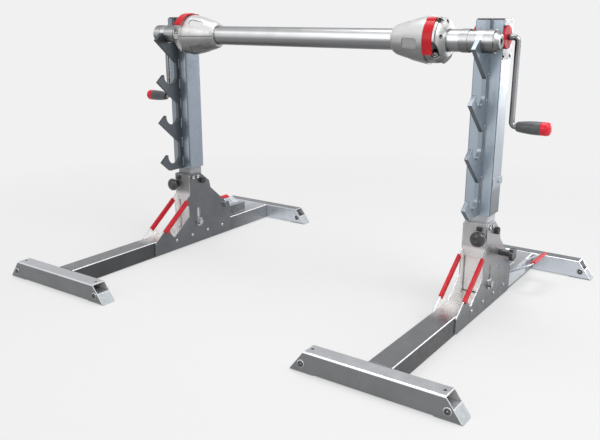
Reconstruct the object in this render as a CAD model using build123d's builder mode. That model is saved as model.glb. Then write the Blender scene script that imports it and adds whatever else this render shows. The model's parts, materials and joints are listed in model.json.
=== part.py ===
from build123d import *

import os
from math import atan2, cos, degrees, radians, sin, tan

# Cable drum jack: two folding lift stands that carry a drum axle with two centring cones.
# Millimetres, +X along the axle, +Z up, and the hooks open towards -Y. The origin is on
# the ground below the middle of the axle. Every stand piece is modelled once in the
# stand's own frame, in which +X points away from the drum. It is then placed at both
# ends, mirrored on the left.

os.makedirs("parts", exist_ok=True)

# Layout
STAND_SPACING = 1163.0
BASE_LENGTH = 1122.0
AXLE_BELOW_TOP = 54.0
GROUND_GAP = 2.0
FIT = 0.3
RUN_FIT = 0.05
SHANK_GAP = 0.2

# Feet and base beam
FOOT_TOP_Z = 60.0
FOOT_BOTTOM_HALF = 232.0
FOOT_TOP_HALF = 187.0
FRONT_FOOT_DEPTH = 50.0
REAR_FOOT_DEPTH = 44.0
FOOT_WALL = 3.0
FOOT_EDGE_R = 5.0
SHELF_Z = 30.0
SHELF_THICK = 3.0
PAD_INNER_X = 160.0
FOOT_BOLT_X = 195.0
FOOT_BOLT_Z = 25.5
FOOT_BOLT_R = 4.0
FOOT_BOLT_HEAD_R = 7.0
FOOT_BOLT_HEAD = 3.5
FLOOR_HOLE_X = 176.0
FLOOR_HOLE_R = 4.5
BEAM_WIDTH = 67.0
BEAM_WALL = 3.0
BEAM_EDGE_R = 4.0

# Cheek plates
CHEEK_THICK = 4.0
CHEEK_BOTTOM_Z = 6.0
CHEEK_TOE_Y = -150.0
CHEEK_TOE_Z = 52.0
CHEEK_SLOPE = 37.0
CHEEK_FRONT_Y = 41.0
CHEEK_TOP_Z = 276.0
CHEEK_TOP_REAR_Y = 100.0
CHEEK_SHOULDER = (149.0, 237.0)
CHEEK_NECK = (156.0, 208.0)
CHEEK_REAR_Y = 269.0
CHEEK_REAR_Z = 111.0
CHEEK_CORNER_R = 7.0
HANDLE_BAR = 18.0
HAND_SLOT = 41.0
HAND_SLOT_START = -10.0
HAND_SLOT_REAR_Y = 34.0
HAND_SLOT_R = 9.0
GRIP_START = -27.0
GRIP_LENGTH = 152.0
GRIP_WALL = 2.5
GRIP_DEPTH = 14.5
RIVET_FIRST_Y = -41.0
RIVET_PITCH = 86.0
RIVET_COUNT = 4
RIVET_Z = 40.0
RIVET_R = 3.0
RIVET_HEAD_R = 6.0
RIVET_HEAD = 2.5
RIVET_TAIL_R = 5.0
TOP_SCREW_Y = (60.0, 84.0)
TOP_SCREW_Z = 263.0
TOP_SCREW_R = 7.0
TOP_SCREW_HEAD = 4.0
BUFFER_Y = 107.0
BUFFER_Z = 245.0
BUFFER_R = 11.0
BUFFER_THICK = 11.0

# Folding mast and its telescopic sleeve
MAST_Y = 85.5
MAST_SIZE = 62.0
MAST_WALL = 3.0
MAST_BELOW_TOP = 127.0
MAST_EDGE_R = 5.0
MAST_FLOOR_GAP = 2.0
PIVOT_Z = 85.0
PIVOT_R = 8.0
PIVOT_HEAD_ACROSS = 20.0
PIVOT_HEAD = 8.0
PIVOT_SPACER_R = 12.0
PIVOT_WASHER_R = 17.0
PIVOT_WASHER = 2.5
FOLD_RISE = 50.0
LOCK_OFFSET_Y = 13.0
LOCK_RISE_Z = 156.0
LOCK_PIN_R = 5.0
LOCK_HOLE_R = 5.3
PAD_GAP = 3.5
MAST_PAD_HEIGHT = 40.0
MAST_PAD_WIDTH = 40.0
MAST_PAD_INSET = 5.0
SLEEVE_WALL = 3.0
SLEEVE_EDGE_R = 6.0
SLEEVE_BOTTOM_Z = 300.0
SLEEVE_TOP_Z = 842.0
BEARING_PLATE_BELOW_TOP = 107.0
BEARING_PLATE = 6.0
BAND_Z = 396.0
BAND_HEIGHT = 22.0
BAND_THICK = 3.0
BAND_SCREW_Y = 94.0
BAND_SCREW_R = 6.0

# Hook rail
RAIL_PLATE = 4.0
RAIL_OVERHANG = 1.5
HOOK_THICK = 12.0
HOOK_COUNT = 4
HOOK_PITCH = 144.7
HOOK_TIP_RISE = 5.0
HOOK_TIP_FLAT = 3.0
HOOK_NOSE_OUT = 63.0
HOOK_NOSE_DROP = 19.5
HOOK_UNDERSIDE = 41.0

# Crank drive
CRANK_Y = 68.0
CRANK_BELOW_TOP = 45.0
CRANK_SHAFT_R = 7.0
CRANK_ROD_R = 8.0
CRANK_ARM_X = 73.0
CRANK_THROW = 237.0
CRANK_BEND_R = 12.0
CRANK_ROD_START_X = 47.0
GRIP_BASE_X = 87.0
GRIP_PIN_R = 5.0
GRIP_CAP_X = 155.0
GRIP_END_X = 181.0
GRIP_BASE_R = 13.5
GRIP_NECK_R = 16.5
GRIP_END_R = 18.5
GRIP_NECK = 16.0
GRIP_ROUND = 3.0
GRIP_END_GAP = 0.6
GRIP_TIP = 4.0
GRIP_CAP_EDGE_R = 5.0
DISC_R = 31.0
DISC_THICK = 6.0
DISC_EDGE_R = 2.0
COVER_THICK = 2.0
COVER_HEIGHT = 105.0
COVER_WIDTH = 66.0
COVER_CORNER = 4.0
COVER_SCREW_Y = 24.0
COVER_SCREW_INSET = 10.0
COVER_SCREW_R = 4.0
CAP_THICK = 4.0
CAP_OVERHANG = 0.8
CAP_PLUG = 12.0
SPINDLE_R = 8.0
SPINDLE_LENGTH = 305.0
SPINDLE_COLLAR_R = 14.0
SPINDLE_COLLAR = 5.0
SPINDLE_HUB_R = 12.0
NUT_FLANGE = 6.0
NUT_PLUG = 34.0
GEAR_TEETH = 16
GEAR_BACK_R = 16.0
GEAR_FACE = 7.0
GEAR_GAP = 0.6
GEAR_TOOTH_DEPTH = 2.4

# Locks on the bridge plate and on the outer cheek
BRIDGE_THICK = 4.0
BRIDGE_BOTTOM_Z = 199.0
BRIDGE_SKIRT_Z = 171.0
BRIDGE_SKIRT_BACK = 9.0
FRONT_LOCK_X = 20.8
FRONT_LOCK_Z = 238.0
KNOB_R = 23.0
KNOB_LENGTH = 24.0
KNOB_NECK_R = 10.0
KNOB_NECK = 4.0
KNOB_EDGE = 4.0
KNOB_RIM_R = 18.4
KNOB_FACE_R = 10.4
PARK_Y = 158.0
PARK_Z = 164.0
STAR_R = 20.5
STAR_THICK = 13.0
STAR_POINTS = 5
STAR_NOTCH_R = 8.0
STAR_NECK = 33.0
STAR_NECK_R = 10.0
BUSH_R = 13.5
BUSH_LENGTH = 9.0
LOCK_TRAVEL = 11.0
LATCH_SIZE = (16.0, 9.0, 12.0)
LATCH_X = 15.0
LATCH_Z = 262.0
LOCK_SEAT = 8.0
LOCK_SEAT_ACROSS = 24.0

# Mast rest and rear carrying handle
REST_WIDTH = 20.0
REST_LENGTH = 122.0
REST_START_Y = 274.0
REST_WALL = 2.5
REST_GAP = 1.5
HANDLE_START_Y = 275.0
HANDLE_LENGTH = 162.0
HANDLE_REACH = 71.0
HANDLE_RISE = 41.0
HANDLE_THICK = 3.0
HANDLE_FLANGE_Z = 14.0
HANDLE_SLOT = 36.0
HANDLE_SLOT_END = 24.0
HANDLE_SLOT_R = 10.0
HANDLE_CORNER = 18.0
REAR_GRIP_LENGTH = 118.0

# Axle with bearings
TUBE_R = 30.0
TUBE_WALL = 4.0
TUBE_END = 57.5
BEARING_R = 30.2
BEARING_WIDTH = 20.0
JOURNAL_R = 20.0
JOURNAL_GAP = 0.6
COLLAR_R = 31.5
COLLAR_INNER = 54.5
COLLAR_OUTER = 32.5
FLAT_HALF = 26.0
SPIGOT_LENGTH = 40.0
END_CAP_R = 31.0
END_CAP_FACE_R = 19.0
END_CAP_LENGTH = 41.0
END_CAP_CHAMFER = 14.0
END_CAP_FACETS = 8
END_CAP_FLATS = 54.0
END_CAP_PIN_R = 13.0
END_CAP_PIN = 22.0
SOCKET_ACROSS = 14.0
SOCKET_DEPTH = 8.0

# Centring cones
CONE_NOSE_X = 325.0
CONE_BACK_X = 489.0
CONE_OUTLINE = (
    (325.0, 36.5),
    (335.0, 42.5),
    (347.0, 46.0),
    (372.0, 52.5),
    (384.0, 56.5),
    (402.0, 60.5),
    (424.0, 64.8),
)
CONE_R = 66.5
CONE_LAND_R = 62.0
CONE_BACK_R = 40.0
CONE_WALL = 6.0
CAVITY_R = 47.0
CAVITY_BACK_R = 38.0
RING_R = 65.5
RING_END_X = 471.0
GROOVE_R = 61.5
GROOVE_END_X = 474.5
SHOULDER_R = 63.0
SHOULDER_END_X = 481.0
SHOULDER_END_R = 57.0
HUB_LENGTH = 11.0
SEAM_GROOVE = 1.2
SEAM_DEPTH = 2.5
LEFT_CONE_SHIFT = 13.0
LEFT_CONE_TURN = -3.0
RIGHT_CONE_TURN = -53.0
POCKET_X = 392.0
POCKET_R = 58.4
POCKET_SLOPE = 13.0
POCKET_LENGTH = 52.0
POCKET_WIDTH = 27.0
POCKET_DEPTH = 3.6
POCKET_CORNER = 8.0
POCKET_RUN_OUT = 4.0
BACK_HOLE_ANGLES = (65.0, 135.0)
BACK_HOLE_PITCH_R = 50.0
BACK_HOLE_R = 6.0
BACK_HOLE_START_X = 477.0
LAND_START_X = 436.0
LAND_END_X = 464.5
LEVER_GAP = 0.6
LEVER_THICK = 5.0
LEVER_ARC = 90.0
LEVER_HEAD_R = 10.0
LEVER_PIVOT_R = 61.0
LEVER_PIVOT_ANGLE = 110.0
LEVER_PIN_R = 3.5
LEVER_PIN_ROOT = 12.0
LEVER_TAB = 10.0
LEFT_LEVER_OPEN = 10.0
PIN_HEAD_R = 7.0
PIN_HEAD = 4.0
LUG_X = 468.0
LUG_Y = 54.0
LUG_R = 12.0
LUG_HEIGHT = 8.0
LUG_SPOT_R = 12.5
LUG_SPOT_TOP = 60.0
LUG_SCREW_R = 5.0
LUG_SCREW_HEAD_R = 8.5
LUG_SCREW_HEAD = 6.0
LUG_SOCKET_R = 4.6

# Worked out from the sizes above
stand_x = STAND_SPACING / 2
front_y = -BASE_LENGTH / 2
rear_y = BASE_LENGTH / 2
axle_z = SLEEVE_TOP_Z - AXLE_BELOW_TOP
mast_top_z = SLEEVE_TOP_Z - MAST_BELOW_TOP
bearing_plate_z = SLEEVE_TOP_Z - BEARING_PLATE_BELOW_TOP
crank_z = SLEEVE_TOP_Z - CRANK_BELOW_TOP
beam_half = BEAM_WIDTH / 2
cheek_outer_x = beam_half + CHEEK_THICK
mast_half = MAST_SIZE / 2
sleeve_inner_half = mast_half + PAD_GAP
sleeve_half = sleeve_inner_half + SLEEVE_WALL
sleeve_front_y = MAST_Y - sleeve_half
rail_front_y = sleeve_front_y - RAIL_PLATE
seat_r = BEARING_R + FIT
spine_y = seat_r
mast_bottom_z = FOOT_TOP_Z + MAST_FLOOR_GAP
lock_y = MAST_Y + LOCK_OFFSET_Y
lock_z = PIVOT_Z + LOCK_RISE_Z
folded_lock_y = MAST_Y + LOCK_RISE_Z
folded_lock_z = PIVOT_Z + FOLD_RISE - LOCK_OFFSET_Y
disc_inner_x = sleeve_half + COVER_THICK
rest_top_z = PIVOT_Z + FOLD_RISE - sleeve_half - REST_GAP
hook_drop = (HOOK_NOSE_OUT + seat_r) * tan(radians(HOOK_UNDERSIDE))
slope_u = (cos(radians(CHEEK_SLOPE)), sin(radians(CHEEK_SLOPE)))
slope_v = (sin(radians(CHEEK_SLOPE)), -cos(radians(CHEEK_SLOPE)))
slope_origin = (0.0, CHEEK_TOE_Z - CHEEK_TOE_Y * tan(radians(CHEEK_SLOPE)))


def on_slope(along, inward):
    """A point of the cheek's face, measured along its sloping edge and square to it."""
    foot = slope_origin[0] * slope_u[0] + slope_origin[1] * slope_u[1]
    run = along - foot
    y = slope_origin[0] + run * slope_u[0] + inward * slope_v[0]
    z = slope_origin[1] + run * slope_u[1] + inward * slope_v[1]
    return (y, z)


def block(x, y, z, mode=Mode.ADD):
    """A box between two limits on each axis."""
    centre = ((x[0] + x[1]) / 2, (y[0] + y[1]) / 2, (z[0] + z[1]) / 2)
    with Locations(centre):
        Box(x[1] - x[0], y[1] - y[0], z[1] - z[0], mode=mode)


def bar_x(x, y, z, radius, mode=Mode.ADD):
    """A round bar along X between two limits."""
    with Locations(Location(((x[0] + x[1]) / 2, y, z), (0, 90, 0))):
        Cylinder(radius, x[1] - x[0], mode=mode)


def bar_y(x, y, z, radius, mode=Mode.ADD):
    """A round bar along Y between two limits."""
    with Locations(Location((x, (y[0] + y[1]) / 2, z), (90, 0, 0))):
        Cylinder(radius, y[1] - y[0], mode=mode)


def bar_z(x, y, z, radius, mode=Mode.ADD):
    """A round bar along Z between two limits."""
    with Locations((x, y, (z[0] + z[1]) / 2)):
        Cylinder(radius, z[1] - z[0], mode=mode)


def hex_x(x, y, z, across, mode=Mode.ADD):
    """A hexagonal head along X between two limits."""
    with BuildSketch(Plane.YZ.offset(x[0])) as head:
        with Locations((y, z)):
            RegularPolygon(across / 2, 6, major_radius=False)
    extrude(head.sketch, amount=x[1] - x[0], mode=mode)


def hex_y(x, y, z, across, mode=Mode.ADD):
    """A hexagonal head along Y between two limits."""
    with BuildSketch(Plane.XZ.offset(-y[1])) as head:
        with Locations((x, z)):
            RegularPolygon(across / 2, 6, major_radius=False)
    extrude(head.sketch, amount=y[1] - y[0], mode=mode)


def export_pair(piece, name):
    """Write one stand piece for each stand, the left one as a mirror image."""
    for side in ("left", "right"):
        with BuildPart() as placed:
            with Locations((stand_x, 0, 0)):
                add(piece)
            if side == "left":
                mirror(about=Plane.YZ, mode=Mode.REPLACE)
        placed.part.label = f"{name}_{side}"
        export_step(placed.part, f"parts/{name}_{side}.step")


def export_both(piece, name):
    """Write one node that holds the piece at both stands."""
    with BuildPart() as placed:
        with Locations((stand_x, 0, 0)):
            add(piece)
        mirror(about=Plane.YZ)
    placed.part.label = name
    export_step(placed.part, f"parts/{name}.step")


# Feet: open-ended sheet tubes with slanted ends and an inner shelf over each pad
def foot_tube(depth, centre_y, floor_holes):
    inner_half = depth / 2 - FOOT_WALL
    steel_height = FOOT_TOP_Z - GROUND_GAP
    with BuildPart() as foot:
        with BuildSketch(Plane.YZ.offset(-FOOT_BOTTOM_HALF)):
            with Locations((centre_y, GROUND_GAP + steel_height / 2)):
                RectangleRounded(depth, steel_height, FOOT_EDGE_R)
                Rectangle(2 * inner_half, steel_height - 2 * FOOT_WALL, mode=Mode.SUBTRACT)
        extrude(amount=2 * FOOT_BOTTOM_HALF)
        for end in (-1, 1):
            block(
                sorted((end * PAD_INNER_X, end * FOOT_BOTTOM_HALF)),
                (centre_y - inner_half, centre_y + inner_half),
                (SHELF_Z, SHELF_Z + SHELF_THICK),
            )
            block(
                sorted((end * PAD_INNER_X, end * FOOT_BOTTOM_HALF)),
                (centre_y - inner_half, centre_y + inner_half),
                (GROUND_GAP, GROUND_GAP + FOOT_WALL),
                mode=Mode.SUBTRACT,
            )
            bar_y(
                end * FOOT_BOLT_X,
                (centre_y - depth / 2, centre_y + depth / 2),
                FOOT_BOLT_Z,
                FOOT_BOLT_R + SHANK_GAP,
                mode=Mode.SUBTRACT,
            )
            if floor_holes:
                bar_z(
                    end * FLOOR_HOLE_X,
                    centre_y,
                    (GROUND_GAP, FOOT_TOP_Z),
                    FLOOR_HOLE_R,
                    mode=Mode.SUBTRACT,
                )
        with BuildSketch(Plane.XZ.offset(-centre_y - depth / 2)):
            with BuildLine():
                Polyline(*foot_outline(), close=True)
            make_face()
        extrude(amount=depth, mode=Mode.INTERSECT)
    return foot.part


def foot_outline():
    """The slanted-end outline of a foot, seen from the front."""
    return (
        (-FOOT_BOTTOM_HALF, 0),
        (FOOT_BOTTOM_HALF, 0),
        (FOOT_TOP_HALF, FOOT_TOP_Z),
        (-FOOT_TOP_HALF, FOOT_TOP_Z),
    )


def foot_pad_pair(depth, centre_y, floor_holes):
    """Rubber blocks below the shelves, flush with the slanted ends."""
    half = depth / 2 - FOOT_WALL
    with BuildPart() as pads:
        for end in (-1, 1):
            block(
                sorted((end * PAD_INNER_X, end * FOOT_BOTTOM_HALF)),
                (centre_y - half, centre_y + half),
                (0, SHELF_Z),
            )
            bar_y(
                end * FOOT_BOLT_X,
                (centre_y - depth / 2, centre_y + depth / 2),
                FOOT_BOLT_Z,
                FOOT_BOLT_R + SHANK_GAP,
                mode=Mode.SUBTRACT,
            )
            if floor_holes:
                bar_z(end * FLOOR_HOLE_X, centre_y, (0, SHELF_Z), FLOOR_HOLE_R, mode=Mode.SUBTRACT)
        with BuildSketch(Plane.XZ.offset(-centre_y - depth / 2)):
            with BuildLine():
                Polyline(*foot_outline(), close=True)
            make_face()
        extrude(amount=depth, mode=Mode.INTERSECT)
    return pads.part


front_foot_y = front_y + FRONT_FOOT_DEPTH / 2
rear_foot_y = rear_y - REAR_FOOT_DEPTH / 2

export_pair(foot_tube(FRONT_FOOT_DEPTH, front_foot_y, True), "front_foot")
export_pair(foot_tube(REAR_FOOT_DEPTH, rear_foot_y, False), "rear_foot")

with BuildPart() as foot_pads:
    add(foot_pad_pair(FRONT_FOOT_DEPTH, front_foot_y, True))
    add(foot_pad_pair(REAR_FOOT_DEPTH, rear_foot_y, False))
export_both(foot_pads.part, "foot_pads")

# Base beam with the rest for the folded mast
beam_y = (front_y + FRONT_FOOT_DEPTH, rear_y - REAR_FOOT_DEPTH)
with BuildPart() as base_beam:
    with BuildSketch(Plane.XZ.offset(-beam_y[0])):
        with Locations((0, (FOOT_TOP_Z + GROUND_GAP) / 2)):
            RectangleRounded(BEAM_WIDTH, FOOT_TOP_Z - GROUND_GAP, BEAM_EDGE_R)
            Rectangle(
                BEAM_WIDTH - 2 * BEAM_WALL,
                FOOT_TOP_Z - GROUND_GAP - 2 * BEAM_WALL,
                mode=Mode.SUBTRACT,
            )
    extrude(amount=beam_y[0] - beam_y[1])
    block(
        (-REST_WIDTH / 2, REST_WIDTH / 2),
        (REST_START_Y, REST_START_Y + REST_LENGTH),
        (FOOT_TOP_Z, rest_top_z),
    )
    block(
        (-REST_WIDTH / 2 + REST_WALL, REST_WIDTH / 2 - REST_WALL),
        (REST_START_Y, REST_START_Y + REST_LENGTH),
        (FOOT_TOP_Z, rest_top_z - REST_WALL),
        mode=Mode.SUBTRACT,
    )
    for index in range(RIVET_COUNT):
        bar_x(
            (-beam_half, beam_half),
            RIVET_FIRST_Y + index * RIVET_PITCH,
            RIVET_Z,
            RIVET_R + SHANK_GAP,
            mode=Mode.SUBTRACT,
        )
export_pair(base_beam.part, "base_beam")


# Cheek plates: a slotted gusset each side of the beam and the mast
def cheek_plate(outer):
    """One cheek; the outer one faces away from the drum."""
    inner_x = beam_half if outer else -cheek_outer_x
    bush = (cheek_outer_x, cheek_outer_x + BUSH_LENGTH)
    bush_x = bush if outer else (-bush[1], -bush[0])
    slope_top = slope_origin[1] + CHEEK_FRONT_Y * tan(radians(CHEEK_SLOPE))
    slot_low = on_slope(HAND_SLOT_START, HANDLE_BAR + HAND_SLOT)
    slot_high = on_slope(HAND_SLOT_START, HANDLE_BAR)
    reach_low = (HAND_SLOT_REAR_Y - slot_low[0]) * tan(radians(CHEEK_SLOPE))
    reach_high = (HAND_SLOT_REAR_Y - slot_high[0]) * tan(radians(CHEEK_SLOPE))
    with BuildPart() as cheek:
        with BuildSketch(Plane.YZ.offset(inner_x)) as face:
            with BuildLine():
                Polyline(
                    (CHEEK_TOE_Y, CHEEK_BOTTOM_Z),
                    (CHEEK_TOE_Y, CHEEK_TOE_Z),
                    (CHEEK_FRONT_Y, slope_top),
                    (CHEEK_FRONT_Y, CHEEK_TOP_Z),
                    (CHEEK_TOP_REAR_Y, CHEEK_TOP_Z),
                    CHEEK_SHOULDER,
                    CHEEK_NECK,
                    (CHEEK_REAR_Y, CHEEK_REAR_Z),
                    (CHEEK_REAR_Y, CHEEK_BOTTOM_Z),
                    close=True,
                )
            make_face()
            fillet(face.vertices(), CHEEK_CORNER_R)
            with BuildLine():
                Polyline(
                    slot_low,
                    slot_high,
                    (HAND_SLOT_REAR_Y, slot_high[1] + reach_high),
                    (HAND_SLOT_REAR_Y, slot_low[1] + reach_low),
                    close=True,
                )
            make_face(mode=Mode.SUBTRACT)
            inner_corners = face.faces()[0].inner_wires()[0].vertices()
            fillet(inner_corners, HAND_SLOT_R)
            with Locations((MAST_Y, PIVOT_Z + FOLD_RISE / 2)):
                SlotCenterToCenter(FOLD_RISE, 2 * (PIVOT_R + SHANK_GAP), rotation=90, mode=Mode.SUBTRACT)
            with Locations((folded_lock_y, folded_lock_z)):
                Circle(LOCK_HOLE_R, mode=Mode.SUBTRACT)
            if outer:
                with Locations((PARK_Y, PARK_Z)):
                    Circle(LOCK_HOLE_R, mode=Mode.SUBTRACT)
            for index in range(RIVET_COUNT):
                with Locations((RIVET_FIRST_Y + index * RIVET_PITCH, RIVET_Z)):
                    Circle(RIVET_R + SHANK_GAP, mode=Mode.SUBTRACT)
            for y in TOP_SCREW_Y:
                with Locations((y, TOP_SCREW_Z)):
                    Circle(RIVET_R + SHANK_GAP, mode=Mode.SUBTRACT)
        extrude(amount=CHEEK_THICK)
        bar_x(bush_x, folded_lock_y, folded_lock_z, BUSH_R)
        bar_x(bush_x, folded_lock_y, folded_lock_z, LOCK_HOLE_R, mode=Mode.SUBTRACT)
    return cheek.part


export_pair(cheek_plate(True), "cheek_outer")
export_pair(cheek_plate(False), "cheek_inner")

# Bridge plate between the cheeks, folded over at the top and skirted below
with BuildPart() as bridge_plate:
    with BuildSketch(Plane.YZ.offset(-beam_half)):
        with BuildLine():
            Polyline(
                (CHEEK_FRONT_Y, CHEEK_TOP_Z),
                (CHEEK_FRONT_Y, BRIDGE_BOTTOM_Z),
                (CHEEK_FRONT_Y + BRIDGE_SKIRT_BACK, BRIDGE_SKIRT_Z),
                (CHEEK_FRONT_Y + BRIDGE_SKIRT_BACK + BRIDGE_THICK, BRIDGE_SKIRT_Z),
                (CHEEK_FRONT_Y + BRIDGE_THICK, BRIDGE_BOTTOM_Z),
                (CHEEK_FRONT_Y + BRIDGE_THICK, CHEEK_TOP_Z - BRIDGE_THICK),
                (MAST_Y - mast_half - 2 * FIT, CHEEK_TOP_Z - BRIDGE_THICK),
                (MAST_Y - mast_half - 2 * FIT, CHEEK_TOP_Z),
                close=True,
            )
        make_face()
    extrude(amount=BEAM_WIDTH)
    bar_y(
        FRONT_LOCK_X,
        (CHEEK_FRONT_Y, CHEEK_FRONT_Y + BRIDGE_THICK),
        FRONT_LOCK_Z,
        LOCK_HOLE_R,
        mode=Mode.SUBTRACT,
    )
export_both(bridge_plate.part, "bridge_plates")

# Fixed lock housings: a threaded hexagon and a dark latch block on the bridge plate
with BuildPart() as lock_housings:
    hex_y(FRONT_LOCK_X, (CHEEK_FRONT_Y - LOCK_SEAT, CHEEK_FRONT_Y), FRONT_LOCK_Z, LOCK_SEAT_ACROSS)
    bar_y(
        FRONT_LOCK_X,
        (CHEEK_FRONT_Y - LOCK_SEAT, CHEEK_FRONT_Y),
        FRONT_LOCK_Z,
        LOCK_HOLE_R,
        mode=Mode.SUBTRACT,
    )
    block(
        (LATCH_X - LATCH_SIZE[0] / 2, LATCH_X + LATCH_SIZE[0] / 2),
        (CHEEK_FRONT_Y - LATCH_SIZE[1], CHEEK_FRONT_Y),
        (LATCH_Z - LATCH_SIZE[2] / 2, LATCH_Z + LATCH_SIZE[2] / 2),
    )
export_both(lock_housings.part, "lock_housings")

# Rear carrying handle: a flange on the beam and a raised sheet with a hand slot
handle_outer_x = beam_half + HANDLE_REACH
handle_mid_y = HANDLE_START_Y + HANDLE_LENGTH / 2
handle_angle = degrees(atan2(HANDLE_RISE - HANDLE_THICK, HANDLE_REACH))
with BuildPart() as rear_handle:
    with BuildSketch(Plane.XZ.offset(-HANDLE_START_Y)):
        with BuildLine():
            Polyline(
                (beam_half, HANDLE_FLANGE_Z),
                (beam_half + HANDLE_THICK, HANDLE_FLANGE_Z),
                (beam_half + HANDLE_THICK, FOOT_TOP_Z),
                (handle_outer_x + HANDLE_THICK / 2, FOOT_TOP_Z + HANDLE_RISE - HANDLE_THICK / 2),
                (handle_outer_x, FOOT_TOP_Z + HANDLE_RISE + HANDLE_THICK / 2),
                (beam_half, FOOT_TOP_Z + HANDLE_THICK / 2),
                close=True,
            )
        make_face()
    extrude(amount=-HANDLE_LENGTH)
    slot_x = handle_outer_x - HANDLE_BAR - HANDLE_SLOT / 2
    slot_length = HANDLE_LENGTH - 2 * HANDLE_SLOT_END
    with BuildSketch(Plane.XY.offset(FOOT_TOP_Z)):
        with Locations((slot_x, HANDLE_START_Y + HANDLE_LENGTH / 2)):
            RectangleRounded(HANDLE_SLOT, slot_length, HANDLE_SLOT_R)
    extrude(amount=2 * HANDLE_RISE, mode=Mode.SUBTRACT)
    outer_corners = rear_handle.edges().filter_by(Axis.Z, reverse=True)
    outer_corners = outer_corners.filter_by(lambda e: e.center().X > handle_outer_x)
    outer_corners = outer_corners.filter_by(lambda e: abs(e.tangent_at(0.5).Y) < 0.5)
    chamfer(outer_corners.filter_by(lambda e: e.length < 2 * HANDLE_THICK), HANDLE_CORNER)
export_both(rear_handle.part, "rear_handles")


# Fasteners of the two bases: rivets, foot bolts and the bright screws at the cheek tops
def base_fastener_set():
    with BuildPart() as fasteners:
        for side in (-1, 1):
            inner = side * (beam_half - BEAM_WALL)
            face = side * cheek_outer_x
            for index in range(RIVET_COUNT):
                y = RIVET_FIRST_Y + index * RIVET_PITCH
                bar_x(sorted((inner - side * RIVET_HEAD, face)), y, RIVET_Z, RIVET_R)
                bar_x(sorted((inner - side * RIVET_HEAD, inner)), y, RIVET_Z, RIVET_TAIL_R)
                bar_x(sorted((face, face + side * RIVET_HEAD)), y, RIVET_Z, RIVET_HEAD_R)
            for y in TOP_SCREW_Y:
                bar_x(sorted((side * beam_half, face)), y, TOP_SCREW_Z, RIVET_R)
                bar_x(sorted((face, face + side * TOP_SCREW_HEAD)), y, TOP_SCREW_Z, TOP_SCREW_R)
        for centre_y, depth in ((front_foot_y, FRONT_FOOT_DEPTH), (rear_foot_y, REAR_FOOT_DEPTH)):
            near = centre_y - depth / 2
            far = centre_y + depth / 2
            for x in (-FOOT_BOLT_X, FOOT_BOLT_X):
                bar_y(x, (near - FOOT_BOLT_HEAD, far + FOOT_BOLT_HEAD), FOOT_BOLT_Z, FOOT_BOLT_R)
                bar_y(x, (near - FOOT_BOLT_HEAD, near), FOOT_BOLT_Z, FOOT_BOLT_HEAD_R)
                hex_y(x, (far, far + FOOT_BOLT_HEAD), FOOT_BOLT_Z, 2 * FOOT_BOLT_HEAD_R)
    return fasteners.part


export_both(base_fastener_set(), "base_fasteners")

with BuildPart() as rubber_buffers:
    bar_x((cheek_outer_x, cheek_outer_x + BUFFER_THICK), BUFFER_Y, BUFFER_Z, BUFFER_R)
    bar_x((-cheek_outer_x - BUFFER_THICK, -cheek_outer_x), BUFFER_Y, BUFFER_Z, BUFFER_R)
export_both(rubber_buffers.part, "rubber_buffers")


# Red edge grips on the cheek handles and the rear handle
def cheek_grip(inner_x):
    """A channel that is pushed over the sloping edge of one cheek."""
    end = GRIP_START + GRIP_LENGTH
    with BuildPart() as grip:
        with BuildSketch(Plane.YZ.offset(inner_x - GRIP_WALL)):
            with BuildLine():
                Polyline(
                    on_slope(GRIP_START, -GRIP_WALL),
                    on_slope(end, -GRIP_WALL),
                    on_slope(end, GRIP_DEPTH),
                    on_slope(GRIP_START, GRIP_DEPTH),
                    close=True,
                )
            make_face()
        extrude(amount=CHEEK_THICK + 2 * GRIP_WALL)
        long_edges = grip.edges().filter_by(lambda e: e.length > GRIP_LENGTH - 1)
        fillet(long_edges.group_by(Axis.Z)[-1], GRIP_WALL - FIT)
        with BuildSketch(Plane.YZ.offset(inner_x)):
            with BuildLine():
                Polyline(
                    on_slope(GRIP_START, 0),
                    on_slope(end, 0),
                    on_slope(end, GRIP_DEPTH),
                    on_slope(GRIP_START, GRIP_DEPTH),
                    close=True,
                )
            make_face()
        extrude(amount=CHEEK_THICK, mode=Mode.SUBTRACT)
    return grip.part


def rear_grip():
    """The same channel on the outer edge of the raised rear handle."""
    tilt = Location((handle_outer_x, 0, FOOT_TOP_Z + HANDLE_RISE), (0, -handle_angle, 0))
    with BuildPart() as grip:
        with Locations(tilt * Location((-GRIP_DEPTH / 2 + GRIP_WALL, handle_mid_y, 0))):
            Box(GRIP_DEPTH + GRIP_WALL, REAR_GRIP_LENGTH, HANDLE_THICK + 2 * GRIP_WALL)
    return grip.part


with BuildPart() as handle_grips:
    add(cheek_grip(beam_half))
    add(cheek_grip(-cheek_outer_x))
    add(rear_grip())
    add(rear_handle.part, mode=Mode.SUBTRACT)
export_both(handle_grips.part, "handle_grips")

# Pivot bolt of the folding mast
with BuildPart() as pivot_bolt:
    washer_x = cheek_outer_x + FIT
    bolt_end_x = washer_x + PIVOT_WASHER + PIVOT_HEAD
    bar_x((-bolt_end_x, bolt_end_x), MAST_Y, PIVOT_Z, PIVOT_R)
    for side in (-1, 1):
        washer = sorted((side * washer_x, side * (washer_x + PIVOT_WASHER)))
        head = sorted((side * (washer_x + PIVOT_WASHER), side * bolt_end_x))
        bar_x(washer, MAST_Y, PIVOT_Z, PIVOT_WASHER_R)
        hex_x(head, MAST_Y, PIVOT_Z, PIVOT_HEAD_ACROSS)
export_pair(pivot_bolt.part, "pivot_bolt")

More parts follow.
